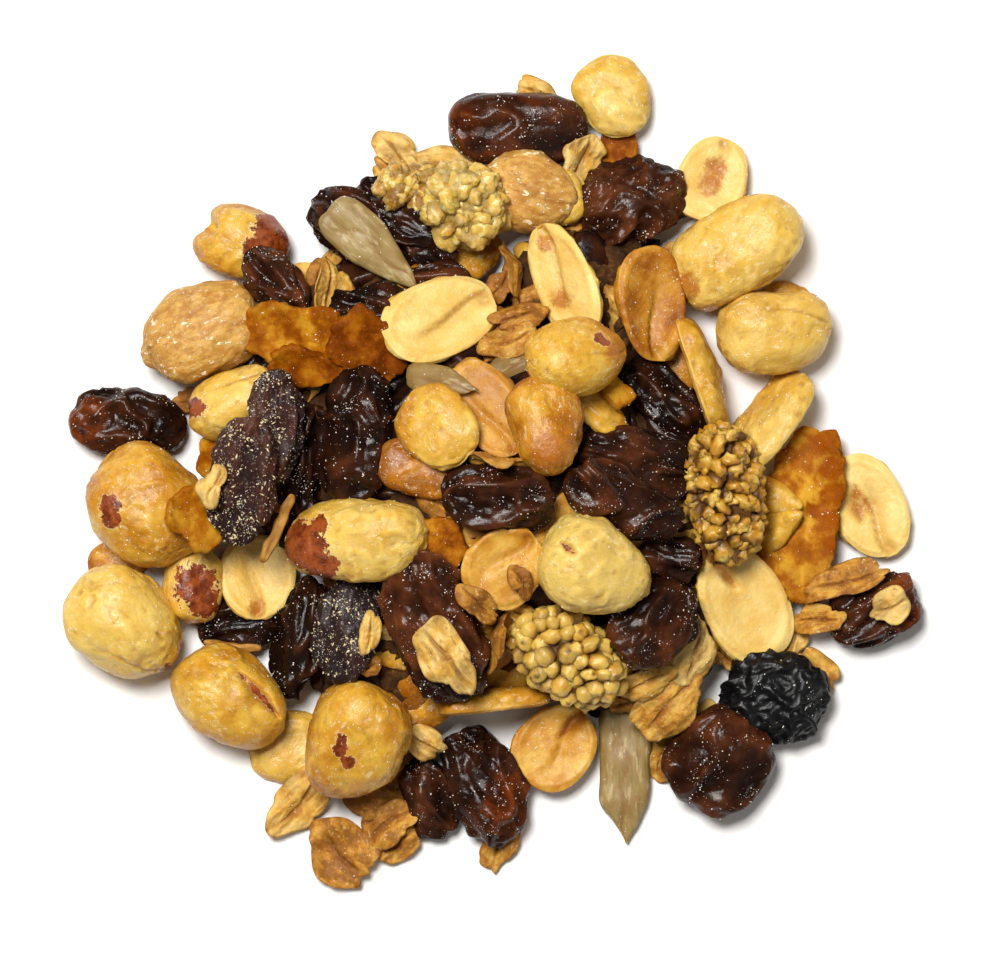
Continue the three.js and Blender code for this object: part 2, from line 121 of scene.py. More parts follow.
class Piece:
    """One piece of the mix, its sizes in millimetres and its angles in degrees."""

    def __init__(self, kind, x, y, length, width, turn, tint, **special):
        self.kind, self.x, self.y, self.turn, self.tint = kind, x, y, turn, tint
        self.length, self.width = length, width
        share, self.square, spacing = KINDS[kind]
        vars(self).update(USUAL | special)
        self.blunt = self.blunt or self.square
        self.thick = FLAT.get(kind, share * width)
        self.spacing = spacing * self.coarse
        self.slope = np.zeros(2)
        self.edge = abs(math.sin(self.roll * DEGREE)) > ON_EDGE

    def seen(self):
        """Half the width and half the height it shows once it is rolled."""
        c, s = abs(math.cos(self.roll * DEGREE)), abs(math.sin(self.roll * DEGREE))
        across = math.hypot(self.width * c, self.thick * s) / 2
        up = math.hypot(self.width * s, self.thick * c) / 2
        return across, up

    def surfaces(self, rho):
        """Its lower and upper surface over its half height, at a share rho of the way to its outline."""
        dome = (1 - rho ** self.square) ** (1 / self.square)
        if self.kind == "oat" and not self.edge:
            rise = np.minimum(1, (1 - rho) / (1 - OAT_FLAT))
            return -rise, rise
        if self.kind == "half" and not self.edge:
            face = np.ones_like(rho)
            return (1 - 2 * dome, face) if math.cos(self.roll * DEGREE) > 0 else (-face, 2 * dome - 1)
        return -dome, dome


# --- the pieces

nut, half, raisin, blueberry, mulberry, kernel, stick, slab, oat = [partial(Piece, kind) for kind in KINDS]
dome = partial(half, roll=180)  # a half that lies face down

# Lowest first, each with its centre in x and y, its length and width, the turn of its long axis and its
# tint from pale (0) to orange (1). A patch of skin, toast or glow has a centre in x and y and a radius.
# A dent has a depth too. A cut has two ends in x and y, a half width and a depth.
pieces = [
    oat(4.4, 38.2, 4.4, 3, -25, 0.3),
    slab(12.6, 33.3, 6.2, 3.8, 85, 0.6),
    nut(-25.2, 23.2, 9.2, 7, -8, 0.45, skin=[(-21.6, 24.4, 2), (-20.9, 22.6, 1.9), (-23.4, 22.4, 1.4)],
        dents=[(-28.9, 25.1, 1.3, 1.8)]),
    nut(-28.8, 14.1, 12, 9.2, 204, 0.3, tan=1, beak=0.1, square=2.6),
    oat(-29.6, 7.4, 4.6, 3.2, 10, 1),
    raisin(-36.4, 5.1, 11.4, 6.8, -6, 0.25, wrinkles=0.4, strands=0.8, glow=[(-41.5, 5.2, 3)]),
    dome(-37.3, -8.7, 6.4, 4.4, 12, 0.7),
    nut(-36.7, -14.8, 12.4, 10.2, -38, 0.1, skin=[(-31.9, -19.9, 1.1)]),
    raisin(-25.2, -14.7, 8.6, 5.4, 5, 0),
    dome(-20.3, -27.1, 8, 7, 0, 0.15),
    oat(-15, -37.8, 8, 6.6, -50, 0.8),
    oat(-9.6, -36.8, 5.8, 3.8, 30, 0.6),
    dome(-6.2, -23.7, 6.2, 4, 40, 0.9),
    oat(1, -36.5, 7.4, 3.4, 66, 0.65),
    oat(17, -28.4, 4.8, 4.4, 80, 0.5),
    oat(21.6, -24.8, 4.6, 4.4, 10, 0.15),
    oat(32.2, -19.7, 5.6, 4.2, -50, 0.6),
    oat(30.2, -15.9, 4.8, 3, 80, 0.3),
    raisin(38, -13.5, 10, 7.8, 28, 0.35, glow=[(42, -12, 3.6)]),
    dome(29.8, 17.1, 5.6, 4, -20, 0.4),
    dome(-2.2, 21.8, 7.2, 4.6, 28, 0.5),
    kernel(2.8, 11.3, 6, 2.8, 28, 0.6),
    raisin(2.6, 34.5, 14.2, 7.6, -2, 0.45, square=2.6, folds=0.4, wrinkles=0.4, strands=0.6,
        glow=[(-3.6, 35.6, 2.6), (3.5, 38, 1.6)]),
    nut(24.5, 22.4, 14.2, 8.8, 32, 0.2, blunt=2.7, beak=0, point=0.03, toast=[(19.2, 18.8, 1.6)]),
    nut(27.9, 14.3, 11.6, 8.2, 6, 0.1, tan=0.15),
    raisin(14.2, 27.2, 11, 8.6, 12, 0.5, square=2.8, folds=1.1, strands=0.9),
    half(37.6, -3.2, 10.8, 7.4, -62, 0.1,
        cuts=[(36.2, -1.2, 36.9, -4.8, 1.1, 0.6), (37.2, -2.2, 38.1, -4.2, 0.5, 0.4)]),
    oat(32.6, -14.5, 6.2, 3, 6, 0.6),
    oat(35.3, -10.6, 9.2, 3.6, 17, 0.75, lift=0.4),
    blueberry(28.2, -22.1, 10.8, 9, -12, 0.5),
    raisin(22.6, -28.6, 10.6, 9.8, 50, 0.45, wrinkles=0.3, strands=0.8),
    oat(20, -18.1, 6.8, 4.6, 72, 0),
    oat(15.3, -20.7, 6.2, 3.6, 25, 0.3),
    raisin(-19, 1.3, 11.2, 4.8, 86, 0),
    raisin(-12, 16.9, 8.6, 4.6, 4, 0.15),
    raisin(-6.6, 22.3, 6, 4.8, -30, 0.15),
    raisin(-19.2, -16.3, 12.2, 5.6, 78, 0),
    raisin(-6.2, -32.2, 8.6, 5.2, -75, 0.3),
    nut(-34.3, -3.3, 12.2, 11, -40, 0.6, skin=[(-37.9, -3, 1.1), (-37.7, -4.4, 1)]),
    nut(-29.9, -11, 7.6, 6, 82, 0.25, skin=[(-29.5, -11, 2.1), (-28.7, -12.8, 1.5)]),
    nut(-25.6, 7.3, 9.6, 6.2, 22, 0.2, skin=[(-29.4, 6.6, 1)]),
    nut(-26.1, -22.2, 12, 9, -36, 0.45, seam=0, cuts=[(-25.2, -19.6, -21.2, -24.1, 0.6, 1.2)]),
    oat(-19.3, -32.7, 8.4, 5, 48, 0.3),
    oat(-6.6, -26.7, 4.4, 3.6, -40, 0.2),
    oat(-11.9, -31, 6.6, 6.8, -10, 0.9),
    oat(-10.2, -34.8, 7.2, 4.2, 35, 0.8),
    oat(-9.5, 32.1, 6, 3.6, -42, 0.05),
    oat(8.8, 31.4, 5.8, 4.6, 68, 0.1),
    oat(1.8, 13.2, 6.4, 3.6, 18, 0.6),
    slab(-27.6, 1.8, 5.4, 3.2, 75, 0.3),
    raisin(-21.4, 18.7, 9, 5.8, -48, 0.5, folds=1.2),
    dome(12.1, 37.8, 8.4, 7, -62, 0),
    half(21.9, 29.3, 8.8, 7, 70, 0.15, hollow=1, groove=0.2, toast=[(22.2, 30.4, 1.3), (21.8, 28.9, 1.2)]),
    half(15.6, 17, 11.6, 7.4, -82, 0.9, hollow=1.2),
    raisin(17.8, -8.2, 6.2, 5, -20, 0.3),
    slab(31.1, -4.2, 17.4, 7.6, 84, 0.25, lift=0.5,
        toast=[(33, 3, 1.2), (33.9, 0.6, 1.3), (34, -2, 1.3), (33.6, -4.6, 1.4), (33.8, -7.2, 1.1)],
        cuts=[(31.5, -2.8, 32.4, -4.4, 1, 0.2)]),
    raisin(16, -14.7, 10.4, 7.6, 40, 0.4),
    raisin(17, 7.3, 11, 6, -46, 0.1),
    raisin(-9.4, 25.9, 10.6, 5.8, -38, 0.2),
    raisin(-14.6, 24.9, 8.6, 6.8, -22, 0.2),
    nut(3.5, 28.3, 9.8, 7.8, -14, 0.3, tan=1),
    oat(-4.2, 30.6, 7.4, 4.6, -10, 0.05),
    oat(-16.1, 18.5, 5.8, 4.6, 86, 0.4, roll=65),
    slab(-19.4, 14.1, 10.8, 6.2, -4, 0.35),
    slab(-12.6, 12.5, 8, 6.2, -58, 0.75),
    slab(-29.4, -4.3, 6.6, 5.4, -35, 0.15),
    half(-0.4, 6.3, 10.8, 6.4, -58, 0.8, tan=0.3, lip=0.12),
    oat(2.1, 20, 6.6, 4.8, -72, 0.7, roll=65),
    oat(2.7, 15.6, 6, 3, 12, 0.85, lift=0.4),
    oat(0.4, 0.8, 6.2, 4.8, -10, 0.6, roll=65),
    slab(-4.9, -6.5, 5.2, 4, -60, 0.5),
    half(-23.4, -10.4, 8.8, 7.6, 268, 0.2, toast=[(-23.5, -13.2, 0.9)]),
    raisin(-14.2, -15.3, 10.8, 7, 82, 0, dust=1),
    nut(-13.5, -26.3, 12.2, 10, 248, 0.6,
        skin=[(-14.8, -26.2, 0.6), (-15, -27.3, 0.7), (-14.3, -28.5, 0.75)]),
    raisin(-0.6, -31.1, 12.2, 7.8, -64, 0.25, wrinkles=0.6, glow=[(2.2, -33, 3.4)]),
    half(6.3, -27.2, 9, 7.8, 48, 0.6, cuts=[(6.6, -26.4, 9.8, -23, 0.7, 1)]),
    half(0, -22.4, 11, 7.2, 4, 0.6, roll=65, blunt=3.2),
    kernel(13.3, -29.7, 14.6, 5.2, -89, 0.3, taper=0.42, waist=0.9),
    dome(28.4, -2.4, 5.6, 3.2, -20, 0.4, point=0.5, lift=1),
    dome(28.4, -5.3, 5.8, 3.2, 28, 0.4, point=0.5, lift=1),
    half(27.4, 5.7, 11.4, 8, 52, 0.1, roll=120, blunt=2.8),
    half(21.3, 10.3, 11.6, 8.6, -72, 0.45, roll=100, blunt=3.2),
    oat(17.5, -23.1, 8.4, 5.8, 50, 0.5),
    half(24.9, -12.8, 12.6, 8.6, 122, 0.15, hollow=0.15, groove=0.06,
        cuts=[(21.6, -7, 24.2, -11.4, 0.9, 1.1)]),
    slab(-18, 10.8, 8.8, 3.6, -4, 0.55),
    raisin(-21.5, 4.7, 11.2, 5.8, 84, 0.35, dust=1),
    raisin(-13.4, 3.9, 14.2, 8, 84, 0.25, folds=0.8, wrinkles=0.2, strands=1),
    nut(-13.4, -6.5, 14.6, 8.2, 8, 0.15, blunt=2.6, beak=0, point=-0.03, seam=0,
        skin=[(-18.9, -7.2, 2.7), (-16.8, -9.2, 1.7), (-17, -4.9, 0.9)]),
    raisin(-5.6, -14.8, 16.4, 9.2, -72, 0.6, strands=0.45),
    kernel(-4.8, 9.1, 8.4, 3, -14, 0.6),
    dome(-7, 0.4, 9.4, 5.4, -18, 1.1, cuts=[(-9.6, 3, -5.4, 1.3, 0.35, 0.8)]),
    half(1.2, -9, 8.4, 7.6, 50, 0.6, lip=0.1),
    raisin(0.5, -2.5, 11.2, 6.8, -4, 0.3),
    half(11.1, 5.9, 6.4, 4.4, -42, 0.4, roll=160),
    slab(12.1, 8.2, 3.6, 2.6, -50, 0.1),
    raisin(14.5, 1.2, 12.4, 6.4, -14, 0.35),
    oat(-1.4, -12.7, 5.8, 2.8, -42, 0.8),
    oat(1, -16.5, 7.6, 4.8, 74, 0.9, roll=55),
    oat(39.6, -13.1, 4.2, 3.8, 20, 0, lift=0.3),
    oat(-12.1, -15.7, 4.6, 2.2, 78, 0.1, lift=0.4),
    half(7.5, 19.2, 12.4, 6.8, 114, 0.15, roll=-30, toast=[(5.3, 23, 0.9), (6.8, 17.4, 1.1)]),
    raisin(-24.5, -0.7, 13.8, 6.8, 80, 0.5, dust=1),
    dome(-5.5, 4.7, 9, 7.4, -42, 0.3),
    nut(5.1, 4.9, 10, 7.6, -80, 0.8, toast=[(5.6, 2.4, 2.3)], dents=[(1, 4.6, 3.2, 1.2)]),
    nut(8.1, 11.5, 10, 7.6, 8, 0.45, skin=[(10.5, 13.5, 0.55), (11.2, 13, 0.5)], toast=[(12.2, 12.2, 1.3)]),
    nut(10, -9.2, 12, 9, -22, -0.1, cuts=[(6.7, -6.6, 8.4, -8, 0.4, 0.8)]),
    raisin(13, -2.7, 13, 6.4, 152, 0.5, wrinkles=0.4, strands=0.5),
    mulberry(23.2, -1.8, 13.4, 8, -82, 0.6, torn=0.8, drupelet=1.5),
    mulberry(7.5, -18.1, 12.6, 8.4, -38, 0.2, drupelet=1.85),
    mulberry(-7.4, 28.4, 8, 4.4, -8, 0.5, tan=0.8, torn=0.85, drupelet=1.7),
    mulberry(-2.6, 26.8, 8.4, 7.8, -45, 0, tan=1, torn=0.8, drupelet=2),
    half(-5.3, 15.3, 12.2, 8, 24, 0.15, groove=0.3, lip=0.16),
    kernel(-11.8, 22.5, 12, 5.2, -43, 0.2, taper=-0.1),
    oat(-4.6, -18, 8.8, 5, -58, 0.15, lift=0.7),
    oat(2.9, -10.6, 4.2, 2.4, -60, 0.95),
    oat(-27.5, -1.2, 4.6, 2.8, 72, 0, lift=0.5),
]

# Scraps tucked in under the others or lying on them, with the height of their centre.
scraps = [
    oat(-10.4, 29.8, 4.4, 2.2, -50, 0.5, z=0.6),
    dome(-24.6, 9.1, 5.4, 3.4, 20, 0.1, z=5),
    oat(-8.7, -29.7, 4.4, 2.6, 50, 0.9, z=0.8),
    oat(23, -17.9, 4, 2.8, -30, 0.5, z=1.6),
    oat(17.8, 22.1, 3.2, 1.8, 40, 0.5, z=1.2),
    dome(18.2, 10.9, 6.2, 4, -60, 0.7, z=2.8),
    oat(-17.5, 19, 5, 3, 70, 0.9, z=4.6),
    dome(6.3, 27.7, 6.4, 5.8, 0, 0.2, z=4.2),
    raisin(-5.6, 19.5, 7.2, 4, 5, 0.5, z=6.6),
    stick(-25.9, -17.1, 5.8, 1, -6, 0.5, z=2.2),
    oat(0.8, 18.7, 3.6, 2.6, 60, 1, z=6.2),
    oat(2.8, -13.7, 3, 2, -20, 0.5, z=10.6),
    oat(-12.1, -19, 2.6, 2.2, 20, 0.8, z=9.6),
    stick(-21.2, -5.4, 7.4, 1.4, 66, 0.5, z=9.2),
]


# --- where the pieces lie

places = (np.arange(round(FIELD / CELL)) + 0.5) * CELL - FIELD / 2
cell_x, cell_y = np.meshgrid(places, places)


def mound_heights():
    """Height field of the bare core."""
    ground = np.zeros_like(cell_x)
    for x, y, rx, ry, height in CORE:
        rest = 1 - ((cell_x - x) / rx) ** 2 - ((cell_y - y) / ry) ** 2
        ground = np.maximum(ground, height * np.sqrt(np.clip(rest, 0, None)))
    return ground


def slope_under(dx, dy, height):
    """Slope of the least-squares plane through the ground under a piece, eased and limited."""
    mx, my, mz = dx - dx.mean(), dy - dy.mean(), height - height.mean()
    xx, yy, xy = (mx * mx).mean(), (my * my).mean(), (mx * my).mean()
    xz, yz = (mx * mz).mean(), (my * mz).mean()
    whole = xx * yy - xy * xy
    slope = np.array([xz * yy - yz * xy, yz * xx - xz * xy]) / whole * LEAN
    steepness = np.linalg.norm(slope)
    return slope * min(1, STEEPEST / steepness) if steepness > 0 else slope


def settle(piece, ground):
    """Lays a piece on the ground: it leans with it and sinks until a share of it is in contact."""
    across, up = piece.seen()
    c, s = math.cos(piece.turn * DEGREE), math.sin(piece.turn * DEGREE)
    dx, dy = cell_x - piece.x, cell_y - piece.y
    rho = np.hypot((dx * c + dy * s) / (piece.length / 2), (dy * c - dx * s) / across)
    inside = rho <= INNER
    dx, dy, height = dx[inside], dy[inside], ground[inside]
    low, high = piece.surfaces(rho[inside])
    piece.slope = slope_under(dx, dy, height)
    plane = piece.slope[0] * dx + piece.slope[1] * dy
    contacts = np.sort(height - low * up - plane)
    pressed = contacts[math.floor((1 - CONTACT) * (len(contacts) - 1))]
    floor = (-low * up - plane).max() - FOOT
    piece.z = max(pressed - PRESS, floor)
    ground[inside] = np.maximum(height, piece.z + high * up + plane)


ground = mound_heights()
for number, piece in enumerate(pieces):
    piece.seed = 1 + number
    settle(piece, ground)
    piece.z += piece.lift + DROP * (piece.kind in FLAT)
for number, piece in enumerate(scraps):
    piece.seed = 201 + number


def unit(vectors):
    """The vectors at length 1."""
    return vectors / np.linalg.norm(vectors, axis=-1, keepdims=True)


def placed(piece, points):
    """Points of a piece's own frame moved to where it lies."""
    points = points.copy()
    points[:, 2] -= (points[:, 2].min() + points[:, 2].max()) / 2
    r, t = piece.roll * DEGREE, piece.turn * DEGREE
    roll = np.array([[1, 0, 0], [0, math.cos(r), -math.sin(r)], [0, math.sin(r), math.cos(r)]])
    turn = np.array([[math.cos(t), -math.sin(t), 0], [math.sin(t), math.cos(t), 0], [0, 0, 1]])
    x, y, z = unit(np.array([-piece.slope[0], -piece.slope[1], 1.0]))
    tip = np.array([[0, 0, x], [0, 0, y], [-x, -y, 0]])
    lean = np.eye(3) + tip + tip @ tip / (1 + z)
    points = points @ (lean @ turn @ roll).T
    return points + (np.array([piece.x, piece.y, piece.z + FOOT]) - CENTRE)


# --- fields over points, in millimetres

def waves(points, seed, size, count=18):
    """Smooth random field with a given wavelength, mostly between -1 and 1."""
    rng = np.random.default_rng(seed)
    ways = unit(rng.normal(size=(count, 3)))
    pace = 2 * math.pi / (size * rng.uniform(0.75, 1.35, count))
    phase = rng.uniform(0, 2 * math.pi, count)
    return np.sin(points @ (ways * pace[:, None]).T + phase).sum(axis=1) / math.sqrt(count)


def folds(points, seed, size):
    """Rounded ridges, 1, with sharp valleys, 0, between them."""
    return np.minimum(np.abs(waves(points, seed, size)) * 1.2, 1)


def ridges(points, seed, size):
    """Thin ridges, 1, with broad hollows, towards 0, between them."""
    return 1 - np.minimum(np.sqrt(waves(points, seed, size) ** 2 + 0.012) * 1.1, 1)


def warped(points, seed, size, shift):
    """The points moved about a little, so that patterns over them wander."""
    moves = [waves(points, seed + axis, size) for axis in range(3)]
    return points + shift * np.stack(moves, axis=1)


def ease(low, high, value):
    """0 below low and 1 above high, with a smooth step between."""
    t = np.clip((value - low) / (high - low), 0, 1)
    return t * t * (3 - 2 * t)


def bell(value, width):
    """1 at zero, falling off over a width."""
    return np.exp(-((value / width) ** 2))


# --- shapes

VALUES = ("tint", "deep", "face", "skin", "toast", "tan", "dust", "glow")


def band(here, after, step):
    """Triangles between the edges of a ring, from here to after, and the ring a step further on."""
    return [
        np.stack([here, here + step, after + step], axis=1),
        np.stack([here, after + step, after], axis=1)]


def ring_faces(rings, sectors):
    """Triangles of rings of points round point 0, and the edges of the last ring."""
    here = 1 + np.arange(sectors)
    after = np.roll(here, -1)
    faces = [np.stack([0 * here, here, after], axis=1)]
    for _ in range(rings - 1):
        faces += band(here, after, sectors)
        here, after = here + sectors, after + sectors
    return np.concatenate(faces), here, after


def ball(rings, sectors):
    """Unit ball with its poles on the X axis: its points and its triangles."""
    polar = math.pi * np.arange(1, rings + 1) / (rings + 1)
    around = 2 * math.pi * np.arange(sectors) / sectors
    polar, around = np.meshgrid(polar, around, indexing="ij")
    x, y, z = np.cos(polar), np.sin(polar) * np.cos(around), np.sin(polar) * np.sin(around)
    points = np.concatenate([[(1, 0, 0)], np.stack([x, y, z], axis=-1).reshape(-1, 3), [(-1, 0, 0)]])
    faces, here, after = ring_faces(rings, sectors)
    end = np.stack([0 * here + len(points) - 1, after, here], axis=1)
    return points, np.concatenate([faces, end])


def joined(parts):
    """Several meshes as one: its points, its triangles and the values at its points."""
    points, faces, values = zip(*parts)
    starts = np.cumsum([0] + [len(own) for own in points])
    triangles = np.concatenate([own + start for own, start in zip(faces, starts)])
    values = {key: np.concatenate([own[key] for own in values]) for key in values[0]}
    return np.concatenate(points), triangles, values


def plump(piece):
    """Squared-off ball of a piece: unit points, unit directions and triangles of about its spacing."""
    rings = max(8, round(piece.length * 1.25 / piece.spacing))
    sectors = max(10, round(math.pi * (piece.width + piece.thick) / 2 * 1.1 / piece.spacing))
    n, triangles = ball(rings, sectors)
    size = (np.abs(n) ** piece.blunt).sum(axis=1, keepdims=True)
    return n * size ** (-1 / piece.blunt), n, triangles


def wave(n, seed, pace):
    """The slow swell that the part's own source gives a form."""
    phase, turn = 2 * math.pi * chance(seed), 2 * math.pi * chance(seed + 0.5)
    x = np.sin(pace * n[:, 0] + phase)
    y = np.sin(pace * n[:, 1] * 1.3 + turn)
    return (x + y + np.sin(pace * n[:, 2] * 1.1 - phase)) / 3


def sized(piece, q):
    return q * (piece.length / 2, piece.width / 2, piece.thick / 2)


def outward(piece, n):
    """Outward unit directions of the sized body."""
    return unit(n / (piece.length, piece.width, piece.thick))


def nut_shape(piece, seed):
    """Whole peanut: plump, pointed at the germ, with a seam, slow lumps, blisters and fine pits."""
    q, n, triangles = plump(piece)
    q[:, 1:] *= (1 - piece.point * q[:, 0])[:, None]
    q *= 1 + 0.03 * wave(n, seed, 4)[:, None]
    q[:, 0] += piece.beak * bell(1 - n[:, 0], 0.05)
    points = sized(piece, q)
    lumps = 0.25 * waves(points, seed, 7) + 0.07 * waves(points, seed + 50, 2.6)
    wandering = warped(points, seed, 3, 0.5)
    blistered = 0.3 + 0.7 * ease(-0.2, 0.8, waves(points, seed + 10, 6))
    blisters = blistered * ease(-0.2, 1.0, waves(wandering, seed + 40, 1.7))
    creases = bell(waves(wandering * (0.5, 1, 1), seed + 30, 4.0), 0.08)
    pits = ease(0.75, 1.4, waves(points, seed + 90, 1.1))
    grain = (0.012 + 0.02 * piece.tan) * waves(points, seed + 70, 0.7)
    seam_turn = 2 * math.pi * chance(seed + 0.7)
    off = points[:, 1] * math.cos(seam_turn) + points[:, 2] * math.sin(seam_turn)
    seam = piece.seam * bell(off + 0.3 * waves(points, seed + 20, 7), 0.18)
    seam *= ease(-0.75, 0.6, q[:, 0]) * ease(1.0, 0.9, n[:, 0])
    fine = 0.16 * blisters - 0.07 * pits - 0.15 * seam - (0.05 + 0.06 * piece.tan) * creases
    points += outward(piece, n) * (lumps + grain + fine)[:, None]
    # deep is painted shade: pits, the seam, creases and the valleys between blisters are coloured darker by
    # it.
    deep = pits * 0.4 + seam * 0.7 + creases * 0.4 + 0.35 * blistered - 0.5 * blisters
    return points, triangles, {"deep": np.clip(deep, 0, 1)}


def half_shape(piece, seed):
    """Peanut half: a smooth dome, and a hollowed face with a rim, a bent groove and a germ notch."""
    q, n, triangles = plump(piece)
    q[:, 1] *= 1 - piece.point * q[:, 0]
    q *= 1 + 0.03 * wave(n, seed, 4)[:, None]
    x, y, z = q.T
    bend = 0.2 if chance(seed + 0.2) > 0.5 else -0.2
    off = y - bend * np.sin(2.6 * x - 0.6)
    rho = np.clip(np.hypot(x, y), 0, 1)
    within = ease(1.0, 0.8, rho)
    groove = bell(off, np.where(off * bend > 0, 0.04, 0.2)) * ease(-0.75, 0.35, x) * within
    notch = bell(x - 0.88, 0.12) * bell(y, 0.15)
    lobes = waves(np.stack([x, y, 0 * x], axis=1), seed + 12, 1.6)
    rim = bell(rho - 0.88, 0.08)
    dish = ease(0.95, 0.2, rho) * piece.hollow
    lip = piece.lip * np.tanh(off * bend / 0.012) * ease(-0.8, -0.3, x) * within
    level = 0.2 * np.clip(z, 0, 1) ** 0.5 + 0.1 * lobes * (1 - rho) + 0.1 * rim
    face = level + lip - piece.groove * groove - 0.4 * notch - 0.3 * dish
    up = z > 0
    z[up] = np.maximum(face, -0.6 * z)[up]
    points = sized(piece, q)
    out = outward(piece, n)
    out[up] = (0, 0, 1)
    lumps = np.where(up, 0.04, 0.16) * waves(points, seed, 4.5)
    grain = np.where(up, 0.02, 0.012) * waves(points, seed + 60, 0.8)
    pits = ease(0.8, 1.4, waves(points, seed + 90, 1.2))
    blisters = ease(-0.2, 1.0, waves(warped(points, seed, 3, 0.5), seed + 40, 1.8))
    points += out * (lumps + grain + np.where(up, 0.0, 0.13) * blisters - 0.05 * pits)[:, None]
    # deep is painted shade: the groove, germ notch and hollow of the face, and the pits and valleys between
    # blisters on the dome, are coloured darker by it.
    inner = 2 * piece.groove * groove + notch + 0.25 * dish
    deep = np.clip(np.where(up, inner, 0.5 * pits + 0.3 - 0.4 * blisters), 0, 1)
    return points, triangles, {"deep": deep, "face": up * 1.0}


def raisin_shape(piece, seed):
    """Raisin: skin sunk into broad hollows between thin ridges along it, with finer wrinkles on them."""
    q, n, triangles = plump(piece)
    q *= 1 + 0.04 * wave(n, seed, 3.5)[:, None]
    points = sized(piece, q)
    along = points * (piece.strands, 1, 1)
    wide = ridges(warped(along, seed, 4, 0.8), seed + 11, 1.8 + 0.5 * piece.width)
    middle = ridges(warped(along, seed + 5, 2, 0.3), seed + 21, 2.3)
    pleats = folds(warped(along, seed + 9, 3, 0.4), seed + 31, 1.6)
    fine = folds(points * (0.7, 1, 1), seed + 41, 0.8)
    ends = 1 - 0.5 * np.abs(n[:, 0]) ** 6
    small = 0.42 * (middle - 0.6) + 0.24 * (pleats - 0.6) + 0.05 * (fine - 0.5)
    height = 0.95 * (wide - 0.6) + piece.wrinkles * small
    points += outward(piece, n) * (height * ends * piece.folds)[:, None]
    # deep is painted shade, near-black in the hollows between the ridges; where it is low, the raised ridges
    # are coloured lighter as painted light.
    raised = 0.5 * wide + piece.wrinkles * (0.35 * middle + 0.2 * pleats)
    return points, triangles, {"deep": 1 - np.clip(raised, 0, 1)}


def berry_shape(piece, seed):
    """Dried blueberry: a flattened round with many fine, crowded wrinkles."""
    q, n, triangles = plump(piece)
    points = sized(piece, q)
    wide = ridges(warped(points, seed, 4, 0.6), seed + 11, 4.4)
    fine = ridges(warped(points, seed + 5, 2, 0.3), seed + 21, 1.5)
    points += outward(piece, n) * (0.7 * (wide - 0.6) + 0.26 * (fine - 0.6))[:, None]
    # deep is painted shade: the hollows between the wrinkles are coloured darker by it.
    return points, triangles, {"deep": 1 - np.clip(0.5 * wide + 0.5 * fine, 0, 1)}


def kernel_shape(piece, seed):
    """Sunflower kernel: blunt and broad behind, drawn out to a point at +X, with fine ridges along it."""
    q, n, triangles = plump(piece)
    x = np.clip(q[:, 0], -1, 1)
    oval = (1 - np.abs(x) ** piece.square) ** (1 / piece.square)
    blunt = (1 - np.abs(np.minimum(x, 0)) ** 4) ** (1 / 4)
    along = (np.hypot(x - piece.taper, 0.1) + x - piece.taper) / 2
    drawn_out = 1 - 0.95 * np.clip(along / (1 - piece.taper), 0, 1) ** piece.waist
    q[:, 1:] *= (blunt * drawn_out / np.maximum(oval, 0.12))[:, None]
    points = sized(piece, q)
    lines = waves(points * (0.1, 1, 1), seed + 3, 0.9)
    slow = waves(points, seed, 4)
    crease = bell(points[:, 1] - 0.35 * slow, 0.14) * ease(-0.9, -0.2, x)
    hollow = bell(points[:, 1] + 0.5 - 0.3 * slow, 0.8) * ease(0.6, -0.4, x)
    points += outward(piece, n) * (0.03 * lines + 0.12 * slow - 0.1 * crease - 0.16 * hollow)[:, None]
    # deep marks the kernel's fine darker lines, and painted shade on its sides, where they turn away from
    # above.
    deep = np.clip(ease(0.2, 1.3, -lines) * 0.5 + 0.8 * ease(0.6, 0.15, np.abs(n[:, 2])), 0, 1)
    return points, triangles, {"deep": deep, "toast": np.maximum(ease(0.84, 1.0, x), 0.7 * crease)}


def slab_shape(piece, seed):
    """Slab of dried fruit: a leathery sheet that sags and lifts, with a torn, darker edge."""
    q, n, triangles = plump(piece)
    around = np.arctan2(n[:, 1], n[:, 0])
    torn = 1 + 0.05 * np.sin(3 * around + 6 * chance(seed)) + 0.04 * np.sin(7 * around + seed)
    q[:, :2] *= torn[:, None]
    points = sized(piece, q)
    points[:, 2] *= 0.62
    flat = points * (1, 1, 0)
    rim = np.clip(np.hypot(q[:, 0], q[:, 1]), 0, 1) ** 4
    leather = ridges(warped(points * (1, 1, 0.3), seed, 3, 0.5), seed + 11, 6.5)
    steps = np.round(1.6 * waves(flat, seed + 31, 3.6)) / 1.6
    ragged = steps + 0.3 * waves(flat, seed + 35, 0.9)
    relief = 0.16 * (leather - 0.4) + 0.04 * waves(points, seed + 21, 0.9)
    points[:, 2] += 0.35 * waves(flat, seed + 2, 9) + relief + 0.35 * rim
    points += n * (1, 1, 0) * (0.3 * rim * ragged)[:, None]
    # deep is painted shade in the hollows between the ridges of the leather, and darkens the rim too.
    return points, triangles, {"deep": np.clip(0.6 * (1 - leather) + 0.5 * rim, 0, 1)}


BITES = 7


def bitten(around, seed):
    """Reach of a flake's edge over that of an oval, with small bites out of it."""
    reach = 1 + 0.07 * np.sin(3 * around + seed) + 0.05 * np.sin(5 * around + 2 * seed)
    rng = np.random.default_rng(seed + 400)
    for _ in range(BITES):
        depth, place, width = rng.uniform((0.03, 0, 0.04), (0.16, 7, 0.12))
        reach -= depth * bell(np.sin((around - place) / 2), width)
    return reach


